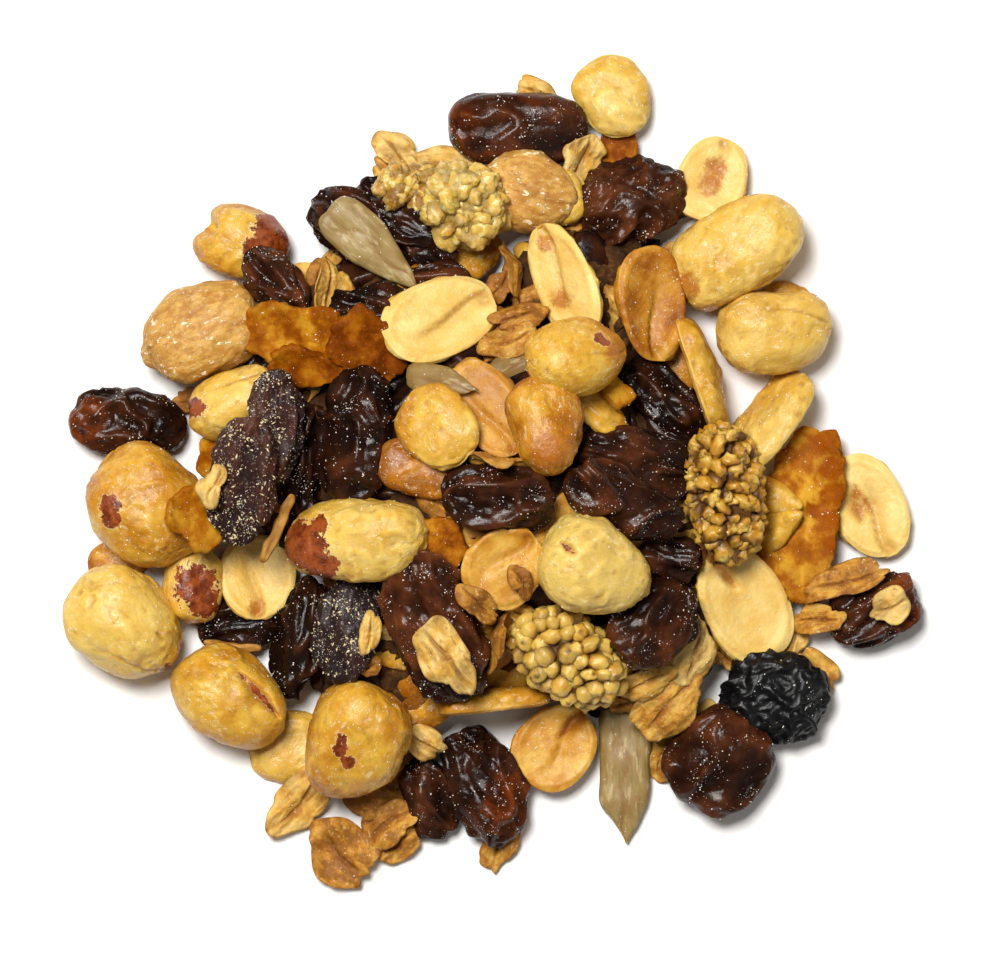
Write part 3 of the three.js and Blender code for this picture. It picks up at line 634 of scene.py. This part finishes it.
def oat_shape(piece, seed):
    """Rolled oat: a thin wavy oval with a crease along it, a torn edge, and two faces that share the rim."""
    rings = max(6, round(piece.width / 2 / piece.spacing))
    sectors = max(20, round(math.pi * (piece.length + piece.width) / 2 / piece.spacing))
    share = (np.arange(1, rings + 1) / rings)[:, None]
    around = 2 * math.pi * np.arange(sectors) / sectors
    reach = share * bitten(around, seed)
    x = np.concatenate([[0], (reach * np.cos(around)).ravel()])
    y = np.concatenate([[0], (reach * np.sin(around)).ravel()])
    way = np.concatenate([[0], np.repeat(share, sectors)])
    flat = np.stack([x * piece.length / 2, y * piece.width / 2, 0 * x], axis=1)
    sag = 0.06 * piece.width * (np.sin(4 * x + seed) + np.cos(3 * y + seed))
    curl = 0.3 if piece.edge else 0.08
    crease = bell(y - 0.12 * np.sin(3 * x + seed), 0.07) * ease(1.0, 0.5, np.abs(x))
    depth = piece.thick * (0.08 + 0.3 * ease(1.02, 0.45, way))
    fibres = ridges(flat * (0.3, 1, 1), seed + 7, 1.3)
    flakes = np.round(1.6 * waves(flat * (0.6, 1, 1), seed + 9, 1.8)) / 1.6
    middle = sag + curl * piece.width * y * y + 0.12 * waves(flat, seed, 2.6)
    middle += 0.14 * (fibres - 0.5) + 0.07 * flakes + 0.03 * waves(flat, seed + 8, 0.5)
    top, bottom = flat.copy(), flat.copy()
    top[:, 2] = middle + depth - 0.8 * depth * crease
    bottom[:, 2] = middle - depth
    faces, here, after = ring_faces(rings, sectors)
    count = len(flat)
    triangles = np.concatenate([faces, faces[:, ::-1] + count, *band(here, after, count)])
    deep = np.clip(crease * 0.9 + ease(0.3, 1.0, 1 - fibres) * 0.5 + 0.5 * ease(0.9, 1.0, way), 0, 1)
    return np.concatenate([top, bottom]), triangles, {"deep": np.tile(deep, 2), "face": np.tile(way, 2)}


def stick_shape(piece, seed):
    """Stalk: a thin rod, knobbly and a little bent."""
    q, n, triangles = plump(piece)
    points = sized(piece, q * (1, 0.8, 0.8))
    points[:, 1] += 0.015 * piece.length * (q[:, 0] ** 2 - 0.4)
    points += outward(piece, n) * (0.12 * waves(points, seed, 1.6))[:, None]
    return points, triangles, {"deep": ease(0, 1, -waves(points, seed, 1.6))}


GOLDEN_ANGLE = math.pi * (3 - math.sqrt(5))
drupelet_points, drupelet_faces = ball(8, 13)


def drupelet(piece, number, way, rng):
    """One drupelet, in a direction from the middle of its berry."""
    loose = 1 + 2 * piece.torn
    way = unit(way + rng.normal(0, 0.05 + 0.07 * piece.torn, 3))
    size = (np.abs(way) ** piece.square).sum() ** (-1 / piece.square)
    axis = outward(piece, way)
    centre = sized(piece, way * size) - axis * piece.drupelet * (0.45 + rng.uniform(-0.08, 0.1) * loose)
    axis = unit(axis + rng.normal(0, 0.15 + 0.35 * piece.torn, 3))
    side = unit(np.cross(axis, rng.normal(size=3)))
    spread = rng.uniform((0.5, 0.46, 0.42), (0.76, 0.72, 0.6))
    spread[2] *= 1 - 0.45 * piece.torn * rng.random()
    form = drupelet_points * (piece.drupelet * spread * (1 + rng.uniform(-0.12, 0.12) * loose))
    relief = (0.12 + 0.07 * piece.torn) * waves(form + number, piece.seed, 0.8)
    form += drupelet_points * relief[:, None]
    # deep is painted shade on the inner side of each drupelet, in the gaps between them, with dark specks
    # near a few tips; pale is painted light on the outer tip, besides each drupelet's own paleness.
    dot = bell(1 - drupelet_points @ (0.92, 0.35, 0.18), 0.04) * (rng.random() < 0.22)
    outer = drupelet_points[:, 0]
    deep = np.clip(dot + rng.uniform(-0.1, 0.3) + 1.2 * ease(0.75, -0.15, outer), 0, 1)
    pale = rng.uniform(-0.2, 0.15) - 0.35 * ease(0.6, 1.0, outer)
    points = centre + form @ np.stack([axis, side, np.cross(axis, side)])
    return points, drupelet_faces, {"deep": deep, "tint": pale}


def mulberry_shape(piece, seed):
    """Dried mulberry: drupelets packed round a core; where it is torn they are smaller and uneven."""
    rng = np.random.default_rng(seed)
    core, n, core_faces = plump(piece)
    core = sized(piece, core * 0.76)
    core += outward(piece, n) * (0.3 * waves(core, seed + 3, 1.2))[:, None]
    # The core is all deep: painted shade where it shows between the drupelets.
    parts = [(core, core_faces, {"deep": np.ones(len(core)), "tint": np.zeros(len(core))})]
    length, width, thick = piece.length, piece.width, piece.thick
    skin = math.pi * ((length * width + length * thick + width * thick) / 3)
    amount = round(skin / piece.drupelet ** 2 * (1.5 + 0.9 * piece.torn))
    for i in range(amount):
        x = 1 - (2 * i + 1) / amount
        r = math.sqrt(1 - x * x)
        way = np.array([x, r * math.cos(i * GOLDEN_ANGLE), r * math.sin(i * GOLDEN_ANGLE)])
        parts.append(drupelet(piece, i, way, rng))
    return joined(parts)


SHAPES = {
    "nut": nut_shape,
    "half": half_shape,
    "raisin": raisin_shape,
    "blueberry": berry_shape,
    "mulberry": mulberry_shape,
    "kernel": kernel_shape,
    "stick": stick_shape,
    "slab": slab_shape,
    "oat": oat_shape,
}


APART = 40  # how far apart pieces may lie in the patterns of their materials, so that no two are alike


def distance(points, x, y):
    """How far points are from a place, as seen from above."""
    return np.hypot(points[:, 0] - x + CENTRE[0], points[:, 1] - y + CENTRE[1])


def near_line(points, x1, y1, x2, y2, width):
    """1 along a line seen from above, between its two ends, fading over its half width."""
    start = np.array([x1, y1]) - CENTRE[:2]
    way = np.array([x2 - x1, y2 - y1])
    at = np.clip(((points[:, :2] - start) @ way) / (way @ way), 0, 1)
    off = np.linalg.norm(points[:, :2] - start - at[:, None] * way, axis=1)
    return bell(off, width * (1.15 - np.abs(2 * at - 1)))


def inside_box(points):
    """The points eased back where they would leave the box of the solid."""
    low, high = np.array(cad_box) / MM
    middle, reach = (low + high) / 2, (high - low) / 2 - BOX_GAP
    off = points - middle
    over = np.clip(np.abs(off) - reach + BOX_EASE, 0, None)
    eased = reach - BOX_EASE + BOX_EASE * np.tanh(over / BOX_EASE)
    points = middle + np.where(over > 0, np.sign(off) * eased, off)
    points[:, 2] = np.maximum(points[:, 2], FLOOR_GAP)
    return points


def dented(piece, points):
    """The points pushed towards the middle of the piece at its dents."""
    middle = np.array([piece.x, piece.y, piece.z]) - CENTRE
    for x, y, radius, depth in piece.dents:
        push = depth * bell(distance(points, x, y), radius)
        points = points + unit(middle - points) * push[:, None]
    return points


def add_marks(piece, points, values, upper):
    """Adds the cuts and the patches of a piece, on its upper side."""

    def add(name, amount):
        values[name] = np.maximum(values[name], amount)

    for *line, width, depth in piece.cuts:
        cut = near_line(points, *line, width) * upper
        points[:, 2] -= depth * cut
        # Inside a cut, deep, toast and, where it is narrow and deep, the skin's red-brown are painted:
        # painted shade in the crack.
        add("deep", cut)
        add("toast", 0.9 * cut)
        if depth > width and width < 0.65:
            add("skin", 0.8 * cut ** 2)
    for name in ("skin", "toast", "glow"):
        for x, y, radius in getattr(piece, name):
            add(name, ease(1.6 * radius, 0.4 * radius, distance(points, x, y)) * upper)


def dress(piece):
    """Points of a piece where it lies, its triangles, and the values it is coloured by."""
    points, triangles, values = SHAPES[piece.kind](piece, piece.seed)
    grain = points + APART * np.array([chance(piece.seed + shift) for shift in (0.1, 0.4, 0.9)])
    points = placed(piece, points)
    upper = points[:, 2] > piece.z + FOOT - 0.3 * piece.thick
    points = dented(piece, points)
    values = {name: np.zeros(len(points)) for name in VALUES} | values
    height = points[:, 2]
    # Painted shade: the lower side of each piece (low) is coloured more orange on nuts, halves and oats, and
    # near-black on raisins.
    low = ease(0.75, -0.25, (height - piece.z - FOOT) / ((height.max() - height.min()) / 2))
    values["tint"] += piece.tint + 0.3 * low * (1 - values["face"]) * (piece.kind in ("nut", "half", "oat"))
    values["deep"] = np.maximum(values["deep"], low * (piece.kind == "raisin"))
    values["tan"] += piece.tan
    values["dust"] += piece.dust
    add_marks(piece, points, values, upper)
    return inside_box(points), triangles, values | {"grain": grain}


# --- meshes

def make_object(name, slot, material, points, triangles, values):
    """Mesh object, in metres, with its values as attributes."""
    mesh = bpy.data.meshes.new(name)
    mesh.from_pydata(points * MM, [], triangles, shade_flat=False)
    for key, value in values.items():
        kind, field = ("FLOAT", "value") if value.ndim == 1 else ("FLOAT_VECTOR", "vector")
        attribute = mesh.attributes.new(key, kind, "POINT")
        attribute.data.foreach_set(field, value.astype(np.float32).ravel())
    mesh.materials.append(material)
    made = bpy.data.objects.new(name, mesh)
    bpy.context.scene.collection.objects.link(made)
    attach(made, "root")
    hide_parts(NODE)


def gather(name, slot, material, kind, dusty=False):
    """One object of all the pieces of a kind, either the dusty ones or the others."""
    members = [piece for piece in everything if piece.kind == kind and (piece.dust > 0) == dusty]
    make_object(name, slot, material, *joined([dress(piece) for piece in members]))


# --- materials

def colour(code):
    """Linear colour of a hex code."""
    parts = [int(code[i:i + 2], 16) / 255 for i in (1, 3, 5)]
    return (*[c / 12.92 if c <= 0.04045 else ((c + 0.055) / 1.055) ** 2.4 for c in parts], 1)


class Look:
    """A material built up from a base colour. Sizes of noise are in millimetres."""

    def __init__(self, name):
        self.material = bpy.data.materials.new(name)
        self.material.use_nodes = True
        self.tree = self.material.node_tree
        self.shader = self.tree.nodes["Principled BSDF"]
        self.base = None

    def put(self, value, socket):
        if isinstance(value, bpy.types.NodeSocket):
            self.tree.links.new(value, socket)
        else:
            socket.default_value = value

    def node(self, kind, output, inputs, **settings):
        """One output of a new node, whose inputs are numbers, colours or other outputs."""
        node = self.tree.nodes.new("ShaderNode" + kind)
        for name, value in settings.items():
            setattr(node, name, value)
        for name, value in inputs.items():
            self.put(value, node.inputs[name])
        return node.outputs[output]

    def given(self, name, output="Fac"):
        """A value that the mesh carries."""
        return self.node("Attribute", output, {}, attribute_name=name)

    def noise(self, size, detail=3, roughness=0.55, along=1):
        """Noise from 0 to 1, drawn out along a piece where along is less than 1."""
        place = self.given("grain", "Vector")
        if along < 1:
            place = self.node("VectorMath", 0, {0: place, 1: (along, 1, 1)}, operation="MULTIPLY")
        inputs = {"Vector": place, "Scale": 1 / size, "Detail": detail, "Roughness": roughness}
        return self.node("TexNoise", "Fac", inputs)

    def times(self, a, b):
        return self.node("Math", 0, {0: a, 1: b}, operation="MULTIPLY")

    def plus(self, a, b):
        return self.node("Math", 0, {0: a, 1: b}, operation="ADD")

    def step(self, value, low, high, start=0, end=1):
        """Smooth step of a value from start below low to end above high."""
        inputs = dict(enumerate((value, low, high, start, end)))
        return self.node("MapRange", 0, inputs, interpolation_type="SMOOTHSTEP")

    def drift(self, start, end, *noise):
        """Noise that drifts between start and end."""
        return self.step(self.noise(*noise), 0.3, 0.7, start, end)

    def mix(self, share, a, b):
        a, b = [colour(c) if isinstance(c, str) else c for c in (a, b)]
        return self.node("Mix", 2, {0: share, 6: a, 7: b}, data_type="RGBA")

    def ramp(self, value, *stops):
        """Colour along places from 0 to 1, each with its hex code."""
        node = self.tree.nodes.new("ShaderNodeValToRGB")
        elements = node.color_ramp.elements
        while len(elements) < len(stops):
            elements.new(0.5)
        for element, (place, code) in zip(elements, stops):
            element.position = place
            element.color = colour(code)
        self.put(value, node.inputs[0])
        return node.outputs[0]

    def tinted(self, shift, noise, *stops):
        """Makes the base a ramp along the tint of each piece, shifted either way by noise."""
        self.base = self.ramp(self.plus(self.given("tint"), self.drift(-shift, shift, *noise)), *stops)

    def paint(self, share, code):
        """Covers a share of the base with a colour."""
        self.base = self.mix(share, self.base, code)

    def bump(self, height, depth):
        """Bump of a height from 0 to 1, its depth in millimetres."""
        normal = self.node("Bump", 0, {"Height": height, "Distance": depth * MM})
        self.put(normal, self.shader.inputs["Normal"])

    def finish(self, roughness, depth=0, softness=0, specular=0.5):
        """Sets the shader. Softness is the share of light that goes under the surface."""
        inputs = {
            "Base Color": self.base,
            "Roughness": roughness,
            "Specular IOR Level": specular,
            "Subsurface Weight": softness,
            "Subsurface Radius": (1, 0.65, 0.35),
            "Subsurface Scale": depth * MM,
        }
        for name, value in inputs.items():
            self.put(value, self.shader.inputs[name])
        return self.material


def peanut_material(name):
    """Roasted peanut: golden and oily, mottled, with pale flecks, toasted spots and scraps of red skin."""
    m = Look(name)
    tint, deep, face, tan = m.given("tint"), m.given("deep"), m.given("face"), m.given("tan")
    mottling = m.times(m.step(tint, -0.2, 1, 0.12, 0.32), m.drift(-1, 1, 3.4, 4, 0.6))
    mottled = m.times(m.plus(tint, mottling), 0.85)
    outside = m.ramp(
        mottled, (0, "#E5C466"), (0.3, "#DAAC3C"), (0.6, "#C78B1E"), (0.85, "#AC6A0A"), (1, "#905204"))
    inside = m.ramp(
        mottled, (0, "#ECCE7E"), (0.3, "#DFB250"), (0.6, "#C58A26"), (0.85, "#AC6A10"), (1, "#905206"))
    tanned = m.mix(m.step(m.noise(0.8, 5, 0.7, 0.45), 0.4, 0.6), "#B88032", "#D3A552")
    m.base = m.mix(tan, m.mix(face, outside, inside), tanned)
    pale = m.step(m.noise(1.6, 4, 0.65), 0.56, 0.68, 0, m.step(tint, 0.2, 1, 0.35, 0.12))
    m.paint(pale, "#EBCB80")
    toasted = m.step(m.noise(2.4, 5, 0.65), 0.56, 0.76, 0, m.step(tint, -0.2, 0.6, 0.1, 0.5))
    m.paint(toasted, "#AE7220")
    # Painted shade: deep places, such as pits, seams, creases and grooves, are coloured darker brown, less
    # on the faces of halves.
    m.paint(m.times(deep, m.step(face, 0, 1, 0.7, 0.45)), "#945C12")
    amount = m.times(m.plus(m.times(tan, 0.6), 0.3), m.step(face, 0, 1, 1, 0.1))
    dashes = m.step(m.noise(0.5, 3, 0.6, 0.5), 0.58, 0.64)
    flecks = m.times(m.times(dashes, m.step(m.noise(2.2, 3, 0.6), 0.42, 0.56)), amount)
    m.paint(flecks, "#FBEBC4")
    specks = m.step(m.noise(0.3, 2, 0.5), 0.66, 0.72, 0, 0.6)
    m.paint(specks, "#FBF0D0")
    ragged = m.step(m.noise(0.9, 5, 0.75), 0.2, 0.8, -0.5, 0.5)
    m.paint(m.step(m.plus(m.given("toast"), ragged), 0.2, 1.1, 0, 0.85), "#A8600E")
    skin = m.plus(m.given("skin"), ragged)
    m.paint(m.times(m.step(skin, 0.3, 0.42), 0.4), "#F0D9A2")
    skin_colour = m.mix(m.step(m.noise(1, 4, 0.6), 0.35, 0.65), "#66280A", "#9A4A18")
    m.paint(m.step(skin, 0.45, 0.55), skin_colour)
    matte = m.plus(m.times(face, 0.1), m.times(tan, 0.2))
    raised = m.plus(m.times(specks, 0.7), m.times(flecks, 0.6))
    m.bump(m.plus(m.noise(0.45, 4, 0.6), raised), 0.1)
    return m.finish(m.plus(matte, m.drift(0.24, 0.46, 1)), depth=0.7, softness=0.2, specular=0.4)


def raisin_material(name):
    """Raisin: near-black to red-brown, glossy, lighter where the skin is thin, with a faint bloom."""
    m = Look(name)
    deep, dusty = m.given("deep"), m.given("dust")
    m.tinted(0.3, (2.8, 4, 0.6), (0, "#190D08"), (0.35, "#391C0E"), (0.7, "#562C15"), (1, "#713A1B"))
    # Painted light: the raised ridges are coloured a lighter red-brown.
    m.paint(m.step(m.plus(1, m.times(deep, -1)), 0.55, 0.95, 0, 0.4), "#683719")
    thin = m.step(m.plus(m.given("glow"), m.drift(-0.45, 0.45, 1.8, 4, 0.6)), 0.3, 1.2)
    m.paint(m.times(thin, 0.85), "#74340F")
    # Painted shade: the hollows and lower sides are coloured near-black.
    m.paint(m.step(deep, 0.45, 0.95, 0, 0.7), "#0E0504")
    m.paint(m.step(m.noise(0.5, 5, 0.7), 0.6, 0.78, 0, 0.08), "#9C8070")
    m.paint(m.times(dusty, 0.4), "#33262A")
    m.paint(m.times(dusty, m.step(m.noise(0.35, 4, 0.7), 0.58, 0.68, 0, 0.5)), "#A4948A")
    m.bump(m.noise(0.4, 4, 0.6), 0.05)
    roughness = m.plus(m.drift(0.1, 0.28, 0.9, 4), m.times(dusty, 0.25))
    return m.finish(roughness, depth=0.5, softness=0.04, specular=0.16)


def berry_material(name):
    """Dried blueberry: blue-black with a faint bloom."""
    m = Look(name)
    # Painted shade: the skin darkens to near-black in the hollows.
    m.base = m.mix(m.given("deep"), "#0E0F12", "#040405")
    m.paint(m.step(m.noise(0.8, 4, 0.65), 0.5, 0.7, 0, 0.12), "#3A3E46")
    m.bump(m.noise(0.3, 4, 0.6), 0.05)
    return m.finish(m.drift(0.3, 0.45, 0.8, 4), specular=0.32)


def mulberry_material(name):
    """Dried mulberry: dull gold to brown drupelets, with painted shade between them and painted light on
    their tips.
    """
    m = Look(name)
    deep, tan = m.given("deep"), m.given("tan")
    m.tinted(0.3, (1.6,), (0, "#DAB454"), (0.5, "#C48C22"), (1, "#A0660C"))
    cream = m.plus(m.times(tan, 0.6), 0.15)
    m.paint(m.times(m.step(m.noise(0.6, 4, 0.65), 0.48, 0.62), cream), "#F0DA9C")
    # Painted shade in the gaps between drupelets, less where the piece is tan; the dark specks are painted
    # with it.
    m.paint(m.times(deep, m.step(tan, 0, 1, 0.92, 0.5)), "#4A2806")
    m.paint(m.step(m.noise(0.7, 4, 0.65), 0.62, 0.78, 0, 0.6), "#7C4E1C")
    m.bump(m.noise(0.35, 4, 0.65), 0.07)
    return m.finish(m.plus(m.drift(0.12, 0.3, 0.9), m.times(deep, 0.3)), depth=0.7, softness=0.35)


def oat_material(name):
    """Rolled oat: floury and matte, cream to toasted, browner along its crease, between its fibres and at
    its rim.
    """
    m = Look(name)
    m.tinted(0.3, (1.4, 4, 0.6), (0, "#E6C474"), (0.4, "#D6A646"), (0.75, "#BC8024"), (1, "#925C16"))
    m.paint(m.step(m.noise(0.8, 5, 0.7, 0.25), 0.52, 0.64, 0, 0.65), "#9C5E18")
    m.paint(m.times(m.given("deep"), 0.65), "#774416")
    m.paint(m.step(m.noise(0.4, 4, 0.65), 0.58, 0.7, 0, 0.5), "#F0D59A")
    m.bump(m.noise(0.3, 5, 0.65, 0.5), 0.12)
    return m.finish(m.drift(0.5, 0.75, 1), depth=0.6, softness=0.15, specular=0.35)


def kernel_material(name):
    """Sunflower kernel: grey-beige with fine darker lines and a brown tip."""
    m = Look(name)
    m.tinted(0.2, (2,), (0, "#A28C5A"), (0.5, "#8E7038"), (1, "#6C5222"))
    m.paint(m.step(m.noise(0.45, 4, 0.65, 0.07), 0.5, 0.62, 0, 0.35), "#705628")
    # The fine lines are the kernel's own; on its sides this darkening is painted shade.
    m.paint(m.times(m.given("deep"), 0.6), "#7A6030")
    m.paint(m.given("toast"), "#84561C")
    m.paint(m.step(m.noise(0.6, 3, 0.6, 0.3), 0.54, 0.66, 0, 0.45), "#CDBB8C")
    m.bump(m.noise(0.4, 4, 0.6, 0.3), 0.05)
    return m.finish(m.drift(0.42, 0.6, 1), depth=0.8, softness=0.15)


def slab_material(name):
    """Dried fruit: amber to rust, leathery, a little see-through, with painted shade in its folds."""
    m = Look(name)
    m.tinted(0.35, (2.2, 4, 0.6), (0, "#D49E2C"), (0.35, "#AC680E"), (0.7, "#7C3E04"), (1, "#582600"))
    ragged = m.step(m.noise(1.6, 5, 0.65), 0.2, 0.8, -0.4, 0.4)
    rust = m.mix(m.noise(1.2, 4), "#883C00", "#A65A00")
    m.paint(m.step(m.plus(m.given("toast"), ragged), 0.2, 0.9), rust)
    # Painted shade in the hollows of the folds; the rim is darkened as well.
    m.paint(m.times(m.given("deep"), 0.55), "#7A3800")
    m.paint(m.step(m.noise(0.3, 3, 0.6), 0.62, 0.7, 0, 0.25), "#D89830")
    m.bump(m.noise(0.6, 4, 0.6), 0.1)
    return m.finish(m.drift(0.45, 0.6, 0.8, 4), depth=0.5, softness=0.03, specular=0.05)


def stalk_material(name):
    """Dry stalk or husk: light brown, with darker fibres."""
    m = Look(name)
    m.base = m.mix(m.step(m.noise(0.8, 4, 0.65, 0.2), 0.4, 0.62), "#B8863A", "#8A5A1E")
    m.bump(m.noise(0.4, 4, 0.6, 0.3), 0.08)
    return m.finish(0.6, specular=0.3)


def dark_core_shade_material(name):
    """Core that shows between the pieces: dark brown and matte, as painted shade."""
    m = Look(name)
    m.base = m.ramp(m.noise(1.2, 5, 0.7), (0.3, "#2A170A"), (0.55, "#4E3015"), (0.7, "#805626"))
    m.bump(m.noise(0.5, 5, 0.7), 0.3)
    return m.finish(0.8, specular=0.2)


def sugar_material(name):
    """Grains of sugar and salt: pale, with a little sparkle."""
    m = Look(name)
    m.base = m.mix(m.given("dust"), "#F6ECE0", "#DCCBA0")
    return m.finish(0.3, depth=0.2, softness=0.2)


# --- the core, what fills it, and the sugar

SHRUNK = 0.97  # share of its size that a mound has before its relief is added


def core_shape():
    """The mounds of the core, with a lumpy relief."""
    form, faces = ball(50, 90)
    mounds = []
    for number, (x, y, rx, ry, top) in enumerate(CORE):
        mound = form * (rx, ry, top) * SHRUNK
        relief = 0.5 * waves(mound, 900 + number, 2.4) + 0.25 * waves(mound, 950 + number, 1.1)
        mound += form * relief[:, None] + (np.array([x, y, 0]) - CENTRE)
        mound[:, 2] = np.maximum(mound[:, 2], FLOOR_GAP)
        mounds.append((mound, faces, {}))
    points, triangles, _ = joined(mounds)
    above = (points[:, 2][triangles] > 1.05 * FLOOR_GAP).any(axis=1)
    used, triangles = np.unique(triangles[above], return_inverse=True)
    return points[used], triangles.reshape(-1, 3), {"grain": points[used]}


FILLER_KINDS = ("raisin", "oat", "raisin", "half")
FILLER_SIZES = {"raisin": (7.4, 4.8), "oat": (5.2, 3.6), "half": (7, 5)}
FILLER_SPACING = 3.2


def fillers():
    """Small pieces half sunk in the core wherever it would show between the others."""
    rng = np.random.default_rng(5)
    mounds = mound_heights()
    rows, columns = np.nonzero((ground - mounds < 0.01) & (ground > 0.8))
    open_x, open_y = cell_x[ground < 0.3], cell_y[ground < 0.3]
    made = []
    for at in rng.permutation(len(rows)):
        x, y = places[columns[at]], places[rows[at]]
        if any(math.hypot(x - other.x, y - other.y) < FILLER_SPACING for other in made):
            continue
        kind = FILLER_KINDS[len(made) % len(FILLER_KINDS)]
        room = np.hypot(open_x - x, open_y - y).min()
        size = np.array(FILLER_SIZES[kind]) * rng.uniform(0.75, 1.1) * min(1, 0.25 + room / 4)
        tint = 0.1 if kind == "raisin" else rng.uniform(0.3, 1.0)
        roll = 180 if kind == "half" and rng.random() < 0.6 else 0
        piece = Piece(kind, x, y, *size, rng.uniform(0, 360), tint, roll=roll, coarse=2)
        piece.seed = 300 + len(made)
        reach = np.hypot(cell_x - x, cell_y - y) < piece.width / 2
        piece.slope = slope_under(cell_x[reach] - x, cell_y[reach] - y, mounds[reach])
        piece.z = ground[rows[at], columns[at]] - (0.55 if kind == "raisin" else 0.4) * piece.thick
        made.append(piece)
    return made


def scattered_grains(piece, amount, rng):
    """Places for grains on the upper side of a piece, gathered in patches."""
    points, triangles, _ = dress(piece)
    corners = points[triangles]
    normal = np.cross(corners[:, 1] - corners[:, 0], corners[:, 2] - corners[:, 0])
    area = np.linalg.norm(normal, axis=1)
    weight = area * np.clip(normal[:, 2] / np.maximum(area, 1e-9) + 0.2, 0, None)
    patches = ease(-0.2, 1.2, waves(corners.mean(axis=1), piece.seed + 600, 3.5)) ** 2
    weight *= 0.15 + 0.2 * piece.dust + patches
    picked = rng.choice(len(triangles), amount, p=weight / weight.sum())
    mixes = rng.dirichlet((1, 1, 1), amount)
    return (corners[picked] * mixes[:, :, None]).sum(axis=1)


GRAINS = {"raisin": 2.6, "blueberry": 0.8, "nut": 0.9, "half": 0.8, "slab": 0.8, "kernel": 0.6, "oat": 0.3}
OCTAHEDRON = np.array([(1, 0, 0), (-1, 0, 0), (0, 1, 0), (0, -1, 0), (0, 0, 1), (0, 0, -1)])
OCTAHEDRON_FACES = np.array([
    (0, 2, 4), (2, 1, 4), (1, 3, 4), (3, 0, 4), (2, 0, 5), (1, 2, 5), (3, 1, 5), (0, 3, 5)])


def sugar_shape(members):
    """All the grains of sugar and salt on the pieces, and the chaff on the dusty ones."""
    rng = np.random.default_rng(77)
    spots, chaff = [], []
    for piece in members:
        wanted = round(GRAINS.get(piece.kind, 0) * piece.length * piece.width * (1 + 2.2 * piece.dust))
        if wanted:
            spots.append(scattered_grains(piece, wanted, rng))
            chaff.append(rng.random(wanted) < 0.55 * piece.dust)
    spots, chaff = np.concatenate(spots), np.concatenate(chaff)
    count = len(spots)
    radius = 0.03 + 0.09 * rng.random(count) ** 4
    turns = np.linalg.qr(rng.normal(size=(count, 3, 3)))[0]
    shape = np.where(chaff[:, None], (3.6, 1.4, 0.8), (1, 1, 0.8))
    grains = OCTAHEDRON[None] * shape[:, None] * radius[:, None, None]
    points = inside_box((np.einsum("nij,njk->nik", grains, turns) + spots[:, None]).reshape(-1, 3))
    flipped = np.linalg.det(turns) < 0
    triangles = np.where(flipped[:, None, None], OCTAHEDRON_FACES[:, ::-1], OCTAHEDRON_FACES)
    triangles = triangles + 6 * np.arange(count)[:, None, None]
    return points, triangles.reshape(-1, 3), {"dust": np.repeat(chaff * 1.0, 6), "grain": points}


# --- the heap

def drop_pieces():
    """Drops each piece that hangs clear on to what lies under it, as that is dressed."""
    top = mound_heights()
    for piece in pieces:
        points = dress(piece)[0]
        column, row = np.floor((points + CENTRE + FIELD / 2) / CELL).astype(int)[:, :2].T
        gap = max(np.quantile(points[:, 2] - top[row, column], REST), 0)
        piece.z -= gap
        np.maximum.at(top, (row, column), points[:, 2] - gap)


everything = pieces + scraps + fillers()
drop_pieces()

raisin_skin = raisin_material("raisin_skin")
gather("whole_peanuts", "peanut", peanut_material("roasted_peanut"), "nut")
gather("peanut_halves", "peanut", peanut_material("split_peanut"), "half")
gather("raisins", "raisin", raisin_skin, "raisin")
gather("dusty_raisins", "raisin", raisin_skin, "raisin", dusty=True)
gather("dried_blueberry", "fruit", berry_material("blueberry_skin"), "blueberry")
gather("dried_mulberries", "mulberry", mulberry_material("mulberry_flesh"), "mulberry")
gather("oat_flakes", "oat", oat_material("toasted_oat"), "oat")
gather("sunflower_kernels", "kernel", kernel_material("sunflower_kernel"), "kernel")
gather("fruit_slabs", "fruit", slab_material("dried_fruit"), "slab")
gather("stalks", "fruit", stalk_material("fruit_stalk"), "stick")
# The core is coloured dark brown, as painted shade where it shows between the pieces.
make_object("core_dark_as_shade", "mix", dark_core_shade_material("dark_core_shade"), *core_shape())
make_object("sugar_grains", "mix", sugar_material("sugar"), *sugar_shape(pieces + scraps))


# --- floor, light and camera

def add_floor():
    """Large near-white surface under the heap."""
    bpy.ops.mesh.primitive_plane_add(size=6, location=(0, 0, 0))
    floor = bpy.context.object
    floor.name = "floor"
    pale = Look("pale_floor")
    pale.base = (0.94, 0.94, 0.94, 1)
    floor.data.materials.append(pale.finish(0.9, specular=0.1))


def add_light(name, place, size, power, tint):
    """Soft square light that faces the heap."""
    light = bpy.data.lights.new(name, "AREA")
    light.size = size
    light.energy = power
    light.color = tint
    lamp = bpy.data.objects.new(name, light)
    lamp.location = place
    lamp.rotation_euler = (-lamp.location).to_track_quat("-Z", "Y").to_euler()
    bpy.context.scene.collection.objects.link(lamp)


def add_camera():
    """Camera straight above the heap."""
    sensor, width, distance = 36, 0.1, 1
    camera = bpy.data.cameras.new("camera")
    camera.sensor_width = sensor
    camera.lens = sensor * distance / width
    eye = bpy.data.objects.new("camera", camera)
    eye.location = (0.00071, -0.00123, distance)
    bpy.context.scene.collection.objects.link(eye)
    bpy.context.scene.camera = eye


def add_world():
    """Faint warm light from all round."""
    world = bpy.context.scene.world or bpy.data.worlds.new("world")
    bpy.context.scene.world = world
    world.use_nodes = True
    background = world.node_tree.nodes["Background"]
    background.inputs["Color"].default_value = (1, 0.95, 0.88, 1)
    background.inputs["Strength"].default_value = 0.13


add_floor()
add_light("key", (-0.18, 0.26, 0.8), 0.3, 9.9, (1, 0.98, 0.95))
add_light("fill", (0.5, -0.3, 0.7), 0.9, 0.9, (1, 0.96, 0.9))
add_camera()
add_world()
bpy.context.scene.view_settings.view_transform = "Standard"
